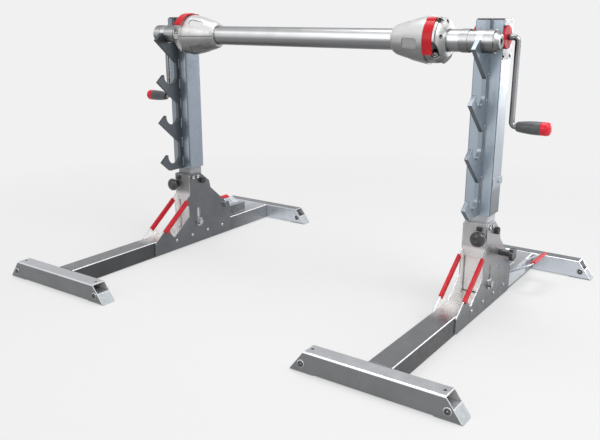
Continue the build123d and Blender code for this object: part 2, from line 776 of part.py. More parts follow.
# Inner mast
with BuildPart() as inner_mast:
    with BuildSketch(Plane.XY.offset(mast_bottom_z)):
        with Locations((0, MAST_Y)):
            RectangleRounded(MAST_SIZE, MAST_SIZE, MAST_EDGE_R)
            RectangleRounded(
                MAST_SIZE - 2 * MAST_WALL,
                MAST_SIZE - 2 * MAST_WALL,
                MAST_EDGE_R - MAST_WALL,
                mode=Mode.SUBTRACT,
            )
    extrude(amount=mast_top_z - mast_bottom_z)
    bar_x((-mast_half, mast_half), MAST_Y, PIVOT_Z, PIVOT_SPACER_R)
    bar_x((-mast_half, mast_half), MAST_Y, PIVOT_Z, PIVOT_R + RUN_FIT, mode=Mode.SUBTRACT)
    bar_x((0, mast_half), lock_y, lock_z, LOCK_HOLE_R, mode=Mode.SUBTRACT)
    bar_y(
        FRONT_LOCK_X,
        (MAST_Y - mast_half, MAST_Y - mast_half + MAST_WALL),
        FRONT_LOCK_Z,
        LOCK_HOLE_R,
        mode=Mode.SUBTRACT,
    )
export_pair(inner_mast.part, "inner_mast")


def pad_ring(inner_half, outer_half, bottom_z):
    """Four flat slide pads around a square tube."""
    with BuildPart() as pads:
        with PolarLocations(0, 4):
            with Locations(((inner_half + outer_half) / 2, 0, bottom_z + MAST_PAD_HEIGHT / 2)):
                Box(outer_half - inner_half, MAST_PAD_WIDTH, MAST_PAD_HEIGHT)
    return pads.part


with BuildPart() as mast_pads:
    with Locations((0, MAST_Y, 0)):
        add(pad_ring(mast_half, sleeve_inner_half - FIT, mast_top_z - MAST_PAD_HEIGHT - MAST_PAD_INSET))
export_pair(mast_pads.part, "mast_pads")

with BuildPart() as sleeve_pads:
    with Locations((0, MAST_Y, 0)):
        add(pad_ring(mast_half + FIT, sleeve_inner_half, SLEEVE_BOTTOM_Z + MAST_PAD_INSET))
export_pair(sleeve_pads.part, "sleeve_pads")

# Spindle nut: a flanged plug in the top of the mast
with BuildPart() as spindle_nut:
    plug_size = MAST_SIZE - 2 * MAST_WALL - 2 * FIT
    with BuildSketch(Plane.XY.offset(mast_top_z)):
        with Locations((0, MAST_Y)):
            RectangleRounded(MAST_SIZE, MAST_SIZE, MAST_EDGE_R)
    extrude(amount=NUT_FLANGE)
    with BuildSketch(Plane.XY.offset(mast_top_z - NUT_PLUG)):
        with Locations((0, MAST_Y)):
            RectangleRounded(plug_size, plug_size, MAST_EDGE_R - MAST_WALL)
    extrude(amount=NUT_PLUG)
    bar_z(
        0,
        CRANK_Y,
        (mast_top_z - NUT_PLUG, mast_top_z + NUT_FLANGE),
        SPINDLE_R + RUN_FIT,
        mode=Mode.SUBTRACT,
    )
export_pair(spindle_nut.part, "spindle_nut")

# Outer sleeve with its inner bearing plate and the guide band
with BuildPart() as outer_sleeve:
    with BuildSketch(Plane.XY.offset(SLEEVE_BOTTOM_Z)):
        with Locations((0, MAST_Y)):
            RectangleRounded(2 * sleeve_half, 2 * sleeve_half, SLEEVE_EDGE_R)
            RectangleRounded(
                2 * sleeve_inner_half,
                2 * sleeve_inner_half,
                SLEEVE_EDGE_R - SLEEVE_WALL,
                mode=Mode.SUBTRACT,
            )
    extrude(amount=SLEEVE_TOP_Z - SLEEVE_BOTTOM_Z)
    block(
        (-sleeve_inner_half, sleeve_inner_half),
        (MAST_Y - sleeve_inner_half, MAST_Y + sleeve_inner_half),
        (bearing_plate_z, bearing_plate_z + BEARING_PLATE),
    )
    bar_z(
        0,
        CRANK_Y,
        (bearing_plate_z, bearing_plate_z + BEARING_PLATE),
        SPINDLE_R + RUN_FIT,
        mode=Mode.SUBTRACT,
    )
    bar_x(
        (-sleeve_half, sleeve_half),
        CRANK_Y,
        crank_z,
        CRANK_SHAFT_R + RUN_FIT,
        mode=Mode.SUBTRACT,
    )
    block(
        (sleeve_half, sleeve_half + BAND_THICK),
        (MAST_Y - sleeve_half, MAST_Y + sleeve_half),
        (BAND_Z - BAND_HEIGHT / 2, BAND_Z + BAND_HEIGHT / 2),
    )
    bar_x(
        (sleeve_half, sleeve_half + 2 * BAND_THICK),
        BAND_SCREW_Y,
        BAND_Z,
        BAND_SCREW_R,
    )
export_pair(outer_sleeve.part, "outer_sleeve")

# Hook rail: a carrier plate and one toothed plate with four seats
with BuildPart() as hook_rail:
    block(
        (-sleeve_half - RAIL_OVERHANG, sleeve_half + RAIL_OVERHANG),
        (rail_front_y, sleeve_front_y),
        (SLEEVE_BOTTOM_Z, SLEEVE_TOP_Z),
    )
    block(
        (-HOOK_THICK / 2, HOOK_THICK / 2),
        (spine_y, rail_front_y),
        (SLEEVE_BOTTOM_Z, SLEEVE_TOP_Z),
    )
    for index in range(HOOK_COUNT):
        seat_z = axle_z - index * HOOK_PITCH
        with BuildSketch(Plane.YZ.offset(-HOOK_THICK / 2)):
            with BuildLine():
                Polyline(
                    (-seat_r, seat_z + HOOK_TIP_RISE),
                    (-seat_r - HOOK_TIP_FLAT, seat_z + HOOK_TIP_RISE),
                    (-HOOK_NOSE_OUT, seat_z - HOOK_NOSE_DROP),
                    (spine_y, seat_z - HOOK_NOSE_DROP - hook_drop),
                    (rail_front_y, seat_z - HOOK_NOSE_DROP - hook_drop),
                    (rail_front_y, seat_z),
                    close=True,
                )
            make_face()
        extrude(amount=HOOK_THICK)
        bar_x((-HOOK_THICK, HOOK_THICK), 0, seat_z, seat_r, mode=Mode.SUBTRACT)
        block(
            (-HOOK_THICK, HOOK_THICK),
            (-seat_r, seat_r),
            (seat_z, seat_z + HOOK_TIP_RISE),
            mode=Mode.SUBTRACT,
        )
    block(
        (-HOOK_THICK, HOOK_THICK),
        (-BASE_LENGTH, sleeve_front_y),
        (0, SLEEVE_BOTTOM_Z),
        mode=Mode.SUBTRACT,
    )
export_pair(hook_rail.part, "hook_rail")

# Top cap, gear covers and red discs of the sleeve head
with BuildPart() as top_cap:
    with BuildSketch(Plane.XY.offset(SLEEVE_TOP_Z)):
        with Locations((0, MAST_Y)):
            cap_size = 2 * (sleeve_half + CAP_OVERHANG)
            RectangleRounded(cap_size, cap_size, SLEEVE_EDGE_R)
    extrude(amount=CAP_THICK)
    chamfer(top_cap.faces().sort_by(Axis.Z)[-1].edges(), CAP_OVERHANG)
    with BuildSketch(Plane.XY.offset(SLEEVE_TOP_Z - CAP_PLUG)):
        with Locations((0, MAST_Y)):
            plug = 2 * (sleeve_inner_half - FIT)
            RectangleRounded(plug, plug, SLEEVE_EDGE_R - SLEEVE_WALL)
            RectangleRounded(
                plug - 2 * CAP_THICK,
                plug - 2 * CAP_THICK,
                SLEEVE_EDGE_R - SLEEVE_WALL,
                mode=Mode.SUBTRACT,
            )
    extrude(amount=CAP_PLUG)
export_pair(top_cap.part, "top_cap")

with BuildPart() as gear_covers:
    for side in (-1, 1):
        plate_x = sorted((side * sleeve_half, side * disc_inner_x))
        with BuildSketch(Plane.YZ.offset(plate_x[0])):
            with Locations((MAST_Y, SLEEVE_TOP_Z - COVER_HEIGHT / 2)):
                RectangleRounded(COVER_WIDTH, COVER_HEIGHT, COVER_CORNER)
        extrude(amount=COVER_THICK)
        for y in (MAST_Y - COVER_SCREW_Y, MAST_Y + COVER_SCREW_Y):
            bar_x(
                sorted((side * disc_inner_x, side * (disc_inner_x + COVER_THICK))),
                y,
                SLEEVE_TOP_Z - COVER_HEIGHT + COVER_SCREW_INSET,
                COVER_SCREW_R,
            )
    bar_x(
        (0, disc_inner_x),
        CRANK_Y,
        crank_z,
        CRANK_SHAFT_R + FIT,
        mode=Mode.SUBTRACT,
    )
export_pair(gear_covers.part, "gear_covers")

with BuildPart() as crank_discs:
    for side in (-1, 1):
        bar_x(
            sorted((side * disc_inner_x, side * (disc_inner_x + DISC_THICK))),
            CRANK_Y,
            crank_z,
            DISC_R,
        )
    outer_rims = crank_discs.edges().filter_by(GeomType.CIRCLE)
    fillet(outer_rims.group_by(Axis.X)[-1] + outer_rims.group_by(Axis.X)[0], DISC_EDGE_R)
    bar_x(
        (0, disc_inner_x + DISC_THICK),
        CRANK_Y,
        crank_z,
        CRANK_SHAFT_R + FIT,
        mode=Mode.SUBTRACT,
    )
export_pair(crank_discs.part, "crank_discs")


def bevel_gear():
    """A toothed cone around Z with its apex at the origin and its large end below."""
    small_r = GEAR_BACK_R - GEAR_FACE
    middle_r = GEAR_BACK_R - GEAR_FACE / 2
    with BuildPart() as gear:
        with BuildSketch(Plane.XZ):
            with BuildLine():
                Polyline(
                    (0, -GEAR_BACK_R - GEAR_GAP),
                    (GEAR_BACK_R, -GEAR_BACK_R - GEAR_GAP),
                    (small_r, -small_r - GEAR_GAP),
                    (0, -small_r - GEAR_GAP),
                    close=True,
                )
            make_face()
        revolve(axis=Axis.Z)
        with PolarLocations(0, GEAR_TEETH):
            with Locations(Location((middle_r, 0, -middle_r - GEAR_GAP), (0, -45, 0))):
                Box(GEAR_TOOTH_DEPTH, GEAR_TOOTH_DEPTH, 2 * GEAR_FACE, mode=Mode.SUBTRACT)
    return gear.part


with BuildPart() as spindle:
    collar_z = bearing_plate_z + BEARING_PLATE + FIT
    gear_z = crank_z - GEAR_BACK_R - GEAR_GAP
    bar_z(0, CRANK_Y, (bearing_plate_z - SPINDLE_LENGTH, collar_z), SPINDLE_R)
    bar_z(0, CRANK_Y, (collar_z, collar_z + SPINDLE_COLLAR), SPINDLE_COLLAR_R)
    bar_z(0, CRANK_Y, (collar_z, gear_z), SPINDLE_HUB_R)
    with Locations((0, CRANK_Y, crank_z)):
        add(bevel_gear())
export_pair(spindle.part, "spindle")

# Crank: gear shaft, bent rod and the pin inside the grip
with BuildPart() as crank:
    grip_z = crank_z - CRANK_THROW
    bar_x((-sleeve_half + FIT, CRANK_ROD_START_X), CRANK_Y, crank_z, CRANK_SHAFT_R)
    with Locations(Location((0, CRANK_Y, crank_z), (0, -90, 0))):
        add(bevel_gear())
    with BuildLine(Plane.XZ.offset(-CRANK_Y)) as rod_path:
        FilletPolyline(
            (CRANK_ROD_START_X, crank_z),
            (CRANK_ARM_X, crank_z),
            (CRANK_ARM_X, grip_z),
            (GRIP_BASE_X - GRIP_END_GAP, grip_z),
            radius=CRANK_BEND_R,
        )
    with BuildSketch(Plane(rod_path.line @ 0, z_dir=rod_path.line % 0)):
        Circle(CRANK_ROD_R)
    sweep()
    bar_x((GRIP_BASE_X - GRIP_END_GAP, GRIP_END_X - GRIP_TIP), CRANK_Y, grip_z, GRIP_PIN_R)
export_pair(crank.part, "crank")

with BuildPart() as crank_grip:
    with BuildSketch(Plane.XZ.offset(-CRANK_Y)):
        with BuildLine():
            Polyline(
                (GRIP_BASE_X, grip_z + GRIP_PIN_R + RUN_FIT),
                (GRIP_BASE_X, grip_z + GRIP_BASE_R - GRIP_ROUND),
                (GRIP_BASE_X + GRIP_ROUND, grip_z + GRIP_BASE_R),
                (GRIP_BASE_X + GRIP_NECK, grip_z + GRIP_NECK_R),
                (GRIP_CAP_X, grip_z + GRIP_END_R),
                (GRIP_CAP_X, grip_z + GRIP_PIN_R + RUN_FIT),
                close=True,
            )
        make_face()
    revolve(axis=Axis((0, CRANK_Y, grip_z), (1, 0, 0)))
export_pair(crank_grip.part, "crank_grip")

with BuildPart() as grip_cap:
    bar_x((GRIP_CAP_X, GRIP_END_X), CRANK_Y, grip_z, GRIP_END_R)
    fillet(grip_cap.edges().filter_by(GeomType.CIRCLE).group_by(Axis.X)[-1], GRIP_CAP_EDGE_R)
    bar_x(
        (GRIP_CAP_X, GRIP_END_X - GRIP_TIP + FIT),
        CRANK_Y,
        grip_z,
        GRIP_PIN_R + RUN_FIT,
        mode=Mode.SUBTRACT,
    )
export_pair(grip_cap.part, "grip_cap")

# Locks: the front one holds the mast upright, and the star knob's pin, which is parked in
# its own hole here, goes through the bushes to hold the mast folded
with BuildPart() as front_lock:
    knob_back_y = CHEEK_FRONT_Y - LOCK_SEAT - LOCK_TRAVEL
    pin_end_y = MAST_Y - mast_half - 2 * FIT
    bar_y(FRONT_LOCK_X, (knob_back_y - KNOB_LENGTH / 2, pin_end_y), FRONT_LOCK_Z, LOCK_PIN_R)
    with BuildSketch(Plane.XY.offset(FRONT_LOCK_Z)):
        with BuildLine():
            Polyline(
                (FRONT_LOCK_X, knob_back_y),
                (FRONT_LOCK_X + KNOB_NECK_R, knob_back_y),
                (FRONT_LOCK_X + KNOB_NECK_R, knob_back_y - KNOB_NECK),
                (FRONT_LOCK_X + KNOB_RIM_R, knob_back_y - KNOB_NECK - KNOB_EDGE),
                (FRONT_LOCK_X + KNOB_R, knob_back_y - KNOB_LENGTH / 2),
                (FRONT_LOCK_X + KNOB_RIM_R, knob_back_y - KNOB_LENGTH + KNOB_EDGE),
                (FRONT_LOCK_X + KNOB_FACE_R, knob_back_y - KNOB_LENGTH),
                (FRONT_LOCK_X, knob_back_y - KNOB_LENGTH),
                close=True,
            )
        make_face()
    revolve(axis=Axis((FRONT_LOCK_X, 0, FRONT_LOCK_Z), (0, 1, 0)))
export_pair(front_lock.part, "front_lock")

with BuildPart() as fold_lock:
    knob_x = cheek_outer_x + FIT + STAR_NECK
    bar_x((beam_half + FIT, knob_x + STAR_THICK), PARK_Y, PARK_Z, LOCK_PIN_R)
    with BuildSketch(Plane.YZ.offset(knob_x)):
        with Locations((PARK_Y, PARK_Z)):
            Circle(STAR_R)
            with PolarLocations(STAR_R + STAR_NOTCH_R / 2, STAR_POINTS):
                Circle(STAR_NOTCH_R, mode=Mode.SUBTRACT)
    extrude(amount=STAR_THICK)
    bar_x((cheek_outer_x + FIT, knob_x), PARK_Y, PARK_Z, STAR_NECK_R)
export_pair(fold_lock.part, "fold_lock")

# Axle: tube, turned ends and the bearing rings that lie in the hooks
tube_half = stand_x - TUBE_END
with BuildPart() as axle_tube:
    bar_x((-tube_half, tube_half), 0, axle_z, TUBE_R)
    bar_x((-tube_half, tube_half), 0, axle_z, TUBE_R - TUBE_WALL, mode=Mode.SUBTRACT)
axle_tube.part.label = "axle_tube"
export_step(axle_tube.part, "parts/axle_tube.step")

journal_half = BEARING_WIDTH / 2 + JOURNAL_GAP
with BuildPart() as axle_stub:
    bar_x((-TUBE_END - SPIGOT_LENGTH, -TUBE_END), 0, axle_z, TUBE_R - TUBE_WALL)
    bar_x((-TUBE_END, -COLLAR_INNER), 0, axle_z, TUBE_R - FIT)
    bar_x((-COLLAR_INNER, -COLLAR_OUTER), 0, axle_z, COLLAR_R)
    with BuildSketch(Plane.YZ.offset(-COLLAR_OUTER)):
        with Locations((0, axle_z)):
            Circle(TUBE_R)
            Rectangle(2 * TUBE_R, 2 * FLAT_HALF, mode=Mode.INTERSECT)
    extrude(amount=COLLAR_OUTER - journal_half)
    bar_x((-journal_half, journal_half), 0, axle_z, JOURNAL_R)
    bar_x((journal_half, journal_half + END_CAP_PIN), 0, axle_z, END_CAP_PIN_R)

with BuildPart() as end_cap:
    with BuildSketch(Plane.XY.offset(axle_z)):
        with BuildLine():
            Polyline(
                (journal_half + RUN_FIT, 0),
                (journal_half + RUN_FIT, END_CAP_R),
                (journal_half + END_CAP_LENGTH - END_CAP_CHAMFER, END_CAP_R),
                (journal_half + END_CAP_LENGTH, END_CAP_FACE_R),
                (journal_half + END_CAP_LENGTH, 0),
                close=True,
            )
        make_face()
    revolve(axis=Axis((0, 0, axle_z), (1, 0, 0)))
    with BuildSketch(Plane.YZ.offset(journal_half + END_CAP_LENGTH - END_CAP_CHAMFER)):
        with Locations((0, axle_z)):
            Circle(END_CAP_R + FIT)
            RegularPolygon(END_CAP_FLATS / 2, END_CAP_FACETS, major_radius=False, mode=Mode.SUBTRACT)
    extrude(amount=END_CAP_CHAMFER, mode=Mode.SUBTRACT)
    with BuildSketch(Plane.YZ.offset(journal_half + END_CAP_LENGTH)):
        with Locations((0, axle_z)):
            RegularPolygon(SOCKET_ACROSS / 2, 6, major_radius=False)
    extrude(amount=-SOCKET_DEPTH, mode=Mode.SUBTRACT)
    bar_x(
        (journal_half, journal_half + END_CAP_PIN + FIT),
        0,
        axle_z,
        END_CAP_PIN_R + RUN_FIT,
        mode=Mode.SUBTRACT,
    )

with BuildPart() as axle_ends:
    add(axle_stub.part)
    add(end_cap.part)
export_both(axle_ends.part, "axle_ends")

with BuildPart() as axle_bearings:
    bar_x((-BEARING_WIDTH / 2, BEARING_WIDTH / 2), 0, axle_z, BEARING_R)
    bar_x(
        (-BEARING_WIDTH / 2, BEARING_WIDTH / 2),
        0,
        axle_z,
        JOURNAL_R + RUN_FIT,
        mode=Mode.SUBTRACT,
    )
export_both(axle_bearings.part, "axle_bearings")


# Split centring cones, drawn around the X axis with the seam level
def around(angle, radius):
    """A point at an angle from the front, turning upwards, in the cone's own frame."""
    return (-radius * cos(radians(angle)), radius * sin(radians(angle)))


cone_outer = CONE_OUTLINE + (
    (LAND_START_X, CONE_R),
    (LAND_START_X, CONE_LAND_R),
    (LAND_END_X, CONE_LAND_R),
    (LAND_END_X, RING_R),
    (RING_END_X, RING_R),
    (RING_END_X, GROOVE_R),
    (GROOVE_END_X, GROOVE_R),
    (GROOVE_END_X, SHOULDER_R),
    (SHOULDER_END_X, SHOULDER_END_R),
    (CONE_BACK_X, CONE_BACK_R),
)
cone_bore_r = TUBE_R + RUN_FIT
cone_cavity = (
    (CONE_BACK_X, cone_bore_r),
    (CONE_BACK_X - HUB_LENGTH, cone_bore_r),
    (CONE_BACK_X - HUB_LENGTH, CAVITY_BACK_R),
    (LAND_END_X, CAVITY_R),
    (LAND_START_X, CAVITY_R),
    (CONE_OUTLINE[-1][0] - CONE_WALL, CONE_OUTLINE[-1][1] - 2 * CONE_WALL),
    (CONE_OUTLINE[3][0], CONE_OUTLINE[3][1] - CONE_WALL),
    (CONE_NOSE_X + HUB_LENGTH, CONE_OUTLINE[0][1] - CONE_WALL / 2),
    (CONE_NOSE_X + HUB_LENGTH, cone_bore_r),
    (CONE_NOSE_X, cone_bore_r),
)


def cone_half(with_lever):
    """One half shell; the lever half lies above the seam."""
    rise = 1 if with_lever else -1
    pin_y, pin_z = around(LEVER_PIVOT_ANGLE, LEVER_PIVOT_R)
    with BuildPart() as half:
        with BuildSketch(Plane.XY):
            with BuildLine():
                Polyline(*cone_outer, *cone_cavity, close=True)
            make_face()
        revolve(axis=Axis.X, revolution_arc=180 * rise)
        for angle in (45, 135):
            radial = around(rise * angle, 1)
            tilt = radians(POCKET_SLOPE)
            normal = (-sin(tilt), radial[0] * cos(tilt), radial[1] * cos(tilt))
            mouth_r = POCKET_R + POCKET_RUN_OUT
            centre = (POCKET_X, radial[0] * mouth_r, radial[1] * mouth_r)
            along = (cos(tilt), radial[0] * sin(tilt), radial[1] * sin(tilt))
            with BuildSketch(Plane(origin=centre, x_dir=along, z_dir=normal)):
                RectangleRounded(POCKET_LENGTH, POCKET_WIDTH, POCKET_CORNER)
            extrude(amount=-POCKET_DEPTH - POCKET_RUN_OUT, mode=Mode.SUBTRACT)
        for angle in BACK_HOLE_ANGLES:
            hole_y, hole_z = around(rise * angle, BACK_HOLE_PITCH_R)
            bar_x((BACK_HOLE_START_X, CONE_BACK_X), hole_y, hole_z, BACK_HOLE_R, mode=Mode.SUBTRACT)
        for side in (-1, 1):
            inner_edge = [(x, side * (r - SEAM_DEPTH)) for x, r in cone_outer]
            outer_edge = [(x, side * (r + SEAM_DEPTH)) for x, r in reversed(cone_outer)]
            with BuildSketch(Plane.XY):
                with BuildLine():
                    Polyline(*inner_edge, *outer_edge, close=True)
                make_face()
            extrude(amount=rise * SEAM_GROOVE, mode=Mode.SUBTRACT)
            spot = sorted((rise * LUG_HEIGHT, rise * LUG_SPOT_TOP))
            bar_z(LUG_X, side * LUG_Y, spot, LUG_SPOT_R, mode=Mode.SUBTRACT)
            bar_z(LUG_X, side * LUG_Y, sorted((0, rise * LUG_HEIGHT)), LUG_R)
            bar_z(
                LUG_X,
                side * LUG_Y,
                sorted((0, rise * LUG_HEIGHT)),
                LUG_SCREW_R + SHANK_GAP,
                mode=Mode.SUBTRACT,
            )
        if with_lever:
            bar_x(
                (LAND_START_X, CONE_BACK_X),
                pin_y,
                pin_z,
                LEVER_HEAD_R + LEVER_GAP,
                mode=Mode.SUBTRACT,
            )
            bar_x(
                (LAND_START_X - LEVER_PIN_ROOT, LAND_START_X),
                pin_y,
                pin_z,
                LEVER_PIN_R + SHANK_GAP,
                mode=Mode.SUBTRACT,
            )
        bar_x((CONE_NOSE_X, CONE_BACK_X), 0, 0, cone_bore_r, mode=Mode.SUBTRACT)
    return half.part


def cone_screw_set():
    """The lever's shoulder screw and the two screws that clamp the halves together."""
    pin_y, pin_z = around(LEVER_PIVOT_ANGLE, LEVER_PIVOT_R)
    pin_end_x = LAND_END_X - LEVER_GAP + FIT
    with BuildPart() as screws:
        bar_x((LAND_START_X - LEVER_PIN_ROOT, pin_end_x), pin_y, pin_z, LEVER_PIN_R)
        bar_x((pin_end_x, pin_end_x + PIN_HEAD), pin_y, pin_z, PIN_HEAD_R)
        for side in (-1, 1):
            y = side * LUG_Y
            head = (LUG_HEIGHT, LUG_HEIGHT + LUG_SCREW_HEAD)
            bar_z(LUG_X, y, (-LUG_HEIGHT - LUG_SCREW_HEAD / 2, LUG_HEIGHT), LUG_SCREW_R)
            bar_z(LUG_X, y, head, LUG_SCREW_HEAD_R)
            bar_z(LUG_X, y, (-LUG_HEIGHT - LUG_SCREW_HEAD / 2, -LUG_HEIGHT), LUG_SCREW_HEAD_R)
            with BuildSketch(Plane.XY.offset(head[1])):
                with Locations((LUG_X, y)):
                    RegularPolygon(LUG_SOCKET_R, 6)
            extrude(amount=-LUG_SCREW_HEAD / 2, mode=Mode.SUBTRACT)
    return screws.part


def clamp_lever():
    """The curved red lever, closed around the land behind the cone."""
    pin_y, pin_z = around(LEVER_PIVOT_ANGLE, LEVER_PIVOT_R)
    inner_r = CONE_LAND_R + LEVER_GAP
    outer_r = inner_r + LEVER_THICK
    x = (LAND_START_X + LEVER_GAP, LAND_END_X - LEVER_GAP)
    with BuildPart() as lever:
        with BuildSketch(around_plane(LEVER_PIVOT_ANGLE)):
            with Locations(((x[0] + x[1]) / 2, (inner_r + outer_r) / 2)):
                Rectangle(x[1] - x[0], LEVER_THICK)
        revolve(axis=Axis.X, revolution_arc=LEVER_ARC)
        with BuildSketch(around_plane(LEVER_PIVOT_ANGLE - LEVER_ARC + LEVER_TAB)):
            with Locations(((x[0] + x[1]) / 2, outer_r)):
                Rectangle(x[1] - x[0], LEVER_THICK)
        revolve(axis=Axis.X, revolution_arc=LEVER_TAB)
        bar_x(x, pin_y, pin_z, LEVER_HEAD_R)
        bar_x(x, pin_y, pin_z, LEVER_PIN_R + RUN_FIT, mode=Mode.SUBTRACT)
    return lever.part


def around_plane(angle):
    """A plane through the axle with its second axis at an angle from the front."""
    y, z = around(angle, 1)
    return Plane(origin=(0, 0, 0), x_dir=(1, 0, 0), z_dir=(0, -z, y))


def export_cone(piece, name, side, turn):
    """Turn a cone piece about the axle and place it on one side."""
    shift = LEFT_CONE_SHIFT if side == "left" else 0
    with BuildPart() as placed:
        with Locations(Location((shift, 0, axle_z), (-turn, 0, 0))):
            add(piece)
        if side == "left":
            mirror(about=Plane.YZ, mode=Mode.REPLACE)
    placed.part.label = f"{name}_{side}"
    export_step(placed.part, f"parts/{name}_{side}.step")


pivot_y, pivot_z = around(LEVER_PIVOT_ANGLE, LEVER_PIVOT_R)
with BuildPart() as open_lever:
    with Locations(Location((0, pivot_y, pivot_z), (-LEFT_LEVER_OPEN, 0, 0))):
        with Locations((0, -pivot_y, -pivot_z)):
            add(clamp_lever())

for cone_side, cone_turn in (("left", LEFT_CONE_TURN), ("right", RIGHT_CONE_TURN)):
    export_cone(cone_half(True), "cone_lever_half", cone_side, cone_turn)
    export_cone(cone_half(False), "cone_plain_half", cone_side, cone_turn)
    export_cone(cone_screw_set(), "cone_screws", cone_side, cone_turn)
export_cone(open_lever.part, "clamp_lever", "left", LEFT_CONE_TURN)
export_cone(clamp_lever(), "clamp_lever", "right", RIGHT_CONE_TURN)
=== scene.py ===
import json
import math
import random

import bmesh
import bpy
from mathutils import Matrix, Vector


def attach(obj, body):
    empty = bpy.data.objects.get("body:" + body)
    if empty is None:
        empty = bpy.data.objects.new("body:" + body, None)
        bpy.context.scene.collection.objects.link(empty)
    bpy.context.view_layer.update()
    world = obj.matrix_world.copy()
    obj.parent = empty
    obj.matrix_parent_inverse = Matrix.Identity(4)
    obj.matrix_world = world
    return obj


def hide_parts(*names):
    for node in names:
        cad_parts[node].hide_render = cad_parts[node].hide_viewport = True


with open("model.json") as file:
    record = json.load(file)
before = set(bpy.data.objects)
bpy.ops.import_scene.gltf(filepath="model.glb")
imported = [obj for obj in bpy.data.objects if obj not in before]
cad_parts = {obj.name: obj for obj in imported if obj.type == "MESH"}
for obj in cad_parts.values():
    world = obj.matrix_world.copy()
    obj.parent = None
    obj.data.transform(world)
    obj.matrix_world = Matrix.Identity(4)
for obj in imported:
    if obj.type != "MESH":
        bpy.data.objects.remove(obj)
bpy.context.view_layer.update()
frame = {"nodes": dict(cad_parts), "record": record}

nodes = frame["nodes"]
SIDES = {"left": -1, "right": 1}
MM = 0.001

# Places in the row frame, in millimetres. A stand's own x starts at its middle plane and points away
# from the drum.
STAND_X = 581.5
AXLE_Z = 788.0
CHEEK_OUTER_X = 37.5
CHEEK_INNER_X = 30.5
RIVET_YS = (-41.0, 45.0, 131.0, 217.0)
RIVET_Z = 40.0
TOP_SCREW_YS = (60.0, 84.0)
TOP_SCREW_Z = 263.0
FOOT_BOLT_XS = (-195.0, 195.0)
FOOT_BOLT_Z = 25.5
FRONT_FOOT_YS = (-561.0, -511.0)
REAR_FOOT_YS = (517.0, 561.0)
LOCK_PLACE = (20.8, 22.0, 238.0)
BEAM_SIDE_X = 33.5
BEAM_WELD_ZS = (7.0, 55.0)
RAIL_WELD_ZS = range(306, 830, 72)
HOOK_PLATE_SIDE_X = 6.0
HOOK_PLATE_FOOT_Y = 44.0
RAIL_BACK_Y = 48.0
RAIL_SIDE_X = 37.5
GRIP_Y = 68.0
GRIP_Z = 560.0
GRIP_START = 87.0
GRIP_JOIN = 155.0
GRIP_END = 181.0
GRIP_BORE_R = 5.1
SUNK = 0.2


# Node helpers for the materials
MATERIALS = {}


def new_material(name):
    mat = bpy.data.materials.new(name)
    mat.use_nodes = True
    MATERIALS[name] = mat
    return mat.node_tree, mat.node_tree.nodes["Principled BSDF"]


def coords(tree, scale=(1.0, 1.0, 1.0), output="Object"):
    source = tree.nodes.new("ShaderNodeTexCoord")
    mapping = tree.nodes.new("ShaderNodeMapping")
    mapping.inputs["Scale"].default_value = scale
    tree.links.new(source.outputs[output], mapping.inputs["Vector"])
    return mapping.outputs["Vector"]


def noise(tree, vector, scale, detail=4.0, rough=0.55):
    node = tree.nodes.new("ShaderNodeTexNoise")
    node.inputs["Scale"].default_value = scale
    node.inputs["Detail"].default_value = detail
    node.inputs["Roughness"].default_value = rough
    tree.links.new(vector, node.inputs["Vector"])
    return node.outputs["Fac"]


def cells(tree, vector, scale):
    node = tree.nodes.new("ShaderNodeTexVoronoi")
    node.inputs["Scale"].default_value = scale
    tree.links.new(vector, node.inputs["Vector"])
    return node.outputs["Color"]


def remap(tree, value, low, high, to_low=0.0, to_high=1.0):
    node = tree.nodes.new("ShaderNodeMapRange")
    node.inputs["From Min"].default_value = low
    node.inputs["From Max"].default_value = high
    node.inputs["To Min"].default_value = to_low
    node.inputs["To Max"].default_value = to_high
    tree.links.new(value, node.inputs["Value"])
    return node.outputs["Result"]


def math_node(tree, operation, first, second=None):
    node = tree.nodes.new("ShaderNodeMath")
    node.operation = operation
    for socket, value in zip(node.inputs, (first, second)):
        if value is None:
            continue
        if isinstance(value, (int, float)):
            socket.default_value = value
        else:
            tree.links.new(value, socket)
    return node.outputs["Value"]


def blend_colors(tree, factor, first, second):
    node = tree.nodes.new("ShaderNodeMix")
    node.data_type = "RGBA"
    tree.links.new(factor, node.inputs[0])
    for socket, value in ((node.inputs[6], first), (node.inputs[7], second)):
        if isinstance(value, tuple):
            socket.default_value = (*value, 1.0)
        else:
            tree.links.new(value, socket)
    return node.outputs[2]


def bump(tree, shader, heights):
    """Chain bumps: a list of (height value, strength, distance in metres)."""
    normal = None
    for height, strength, distance in heights:
        node = tree.nodes.new("ShaderNodeBump")
        node.inputs["Strength"].default_value = strength
        node.inputs["Distance"].default_value = distance
        tree.links.new(height, node.inputs["Height"])
        if normal is not None:
            tree.links.new(normal, node.inputs["Normal"])
        normal = node.outputs["Normal"]
    tree.links.new(normal, shader.inputs["Normal"])


def separate(tree, vector):
    node = tree.nodes.new("ShaderNodeSeparateXYZ")
    tree.links.new(vector, node.inputs["Vector"])
    return node.outputs


def world_normal(tree):
    geometry = tree.nodes.new("ShaderNodeNewGeometry")
    return separate(tree, geometry.outputs["Normal"])


def own_normal(tree):
    return separate(tree, coords(tree, output="Normal"))


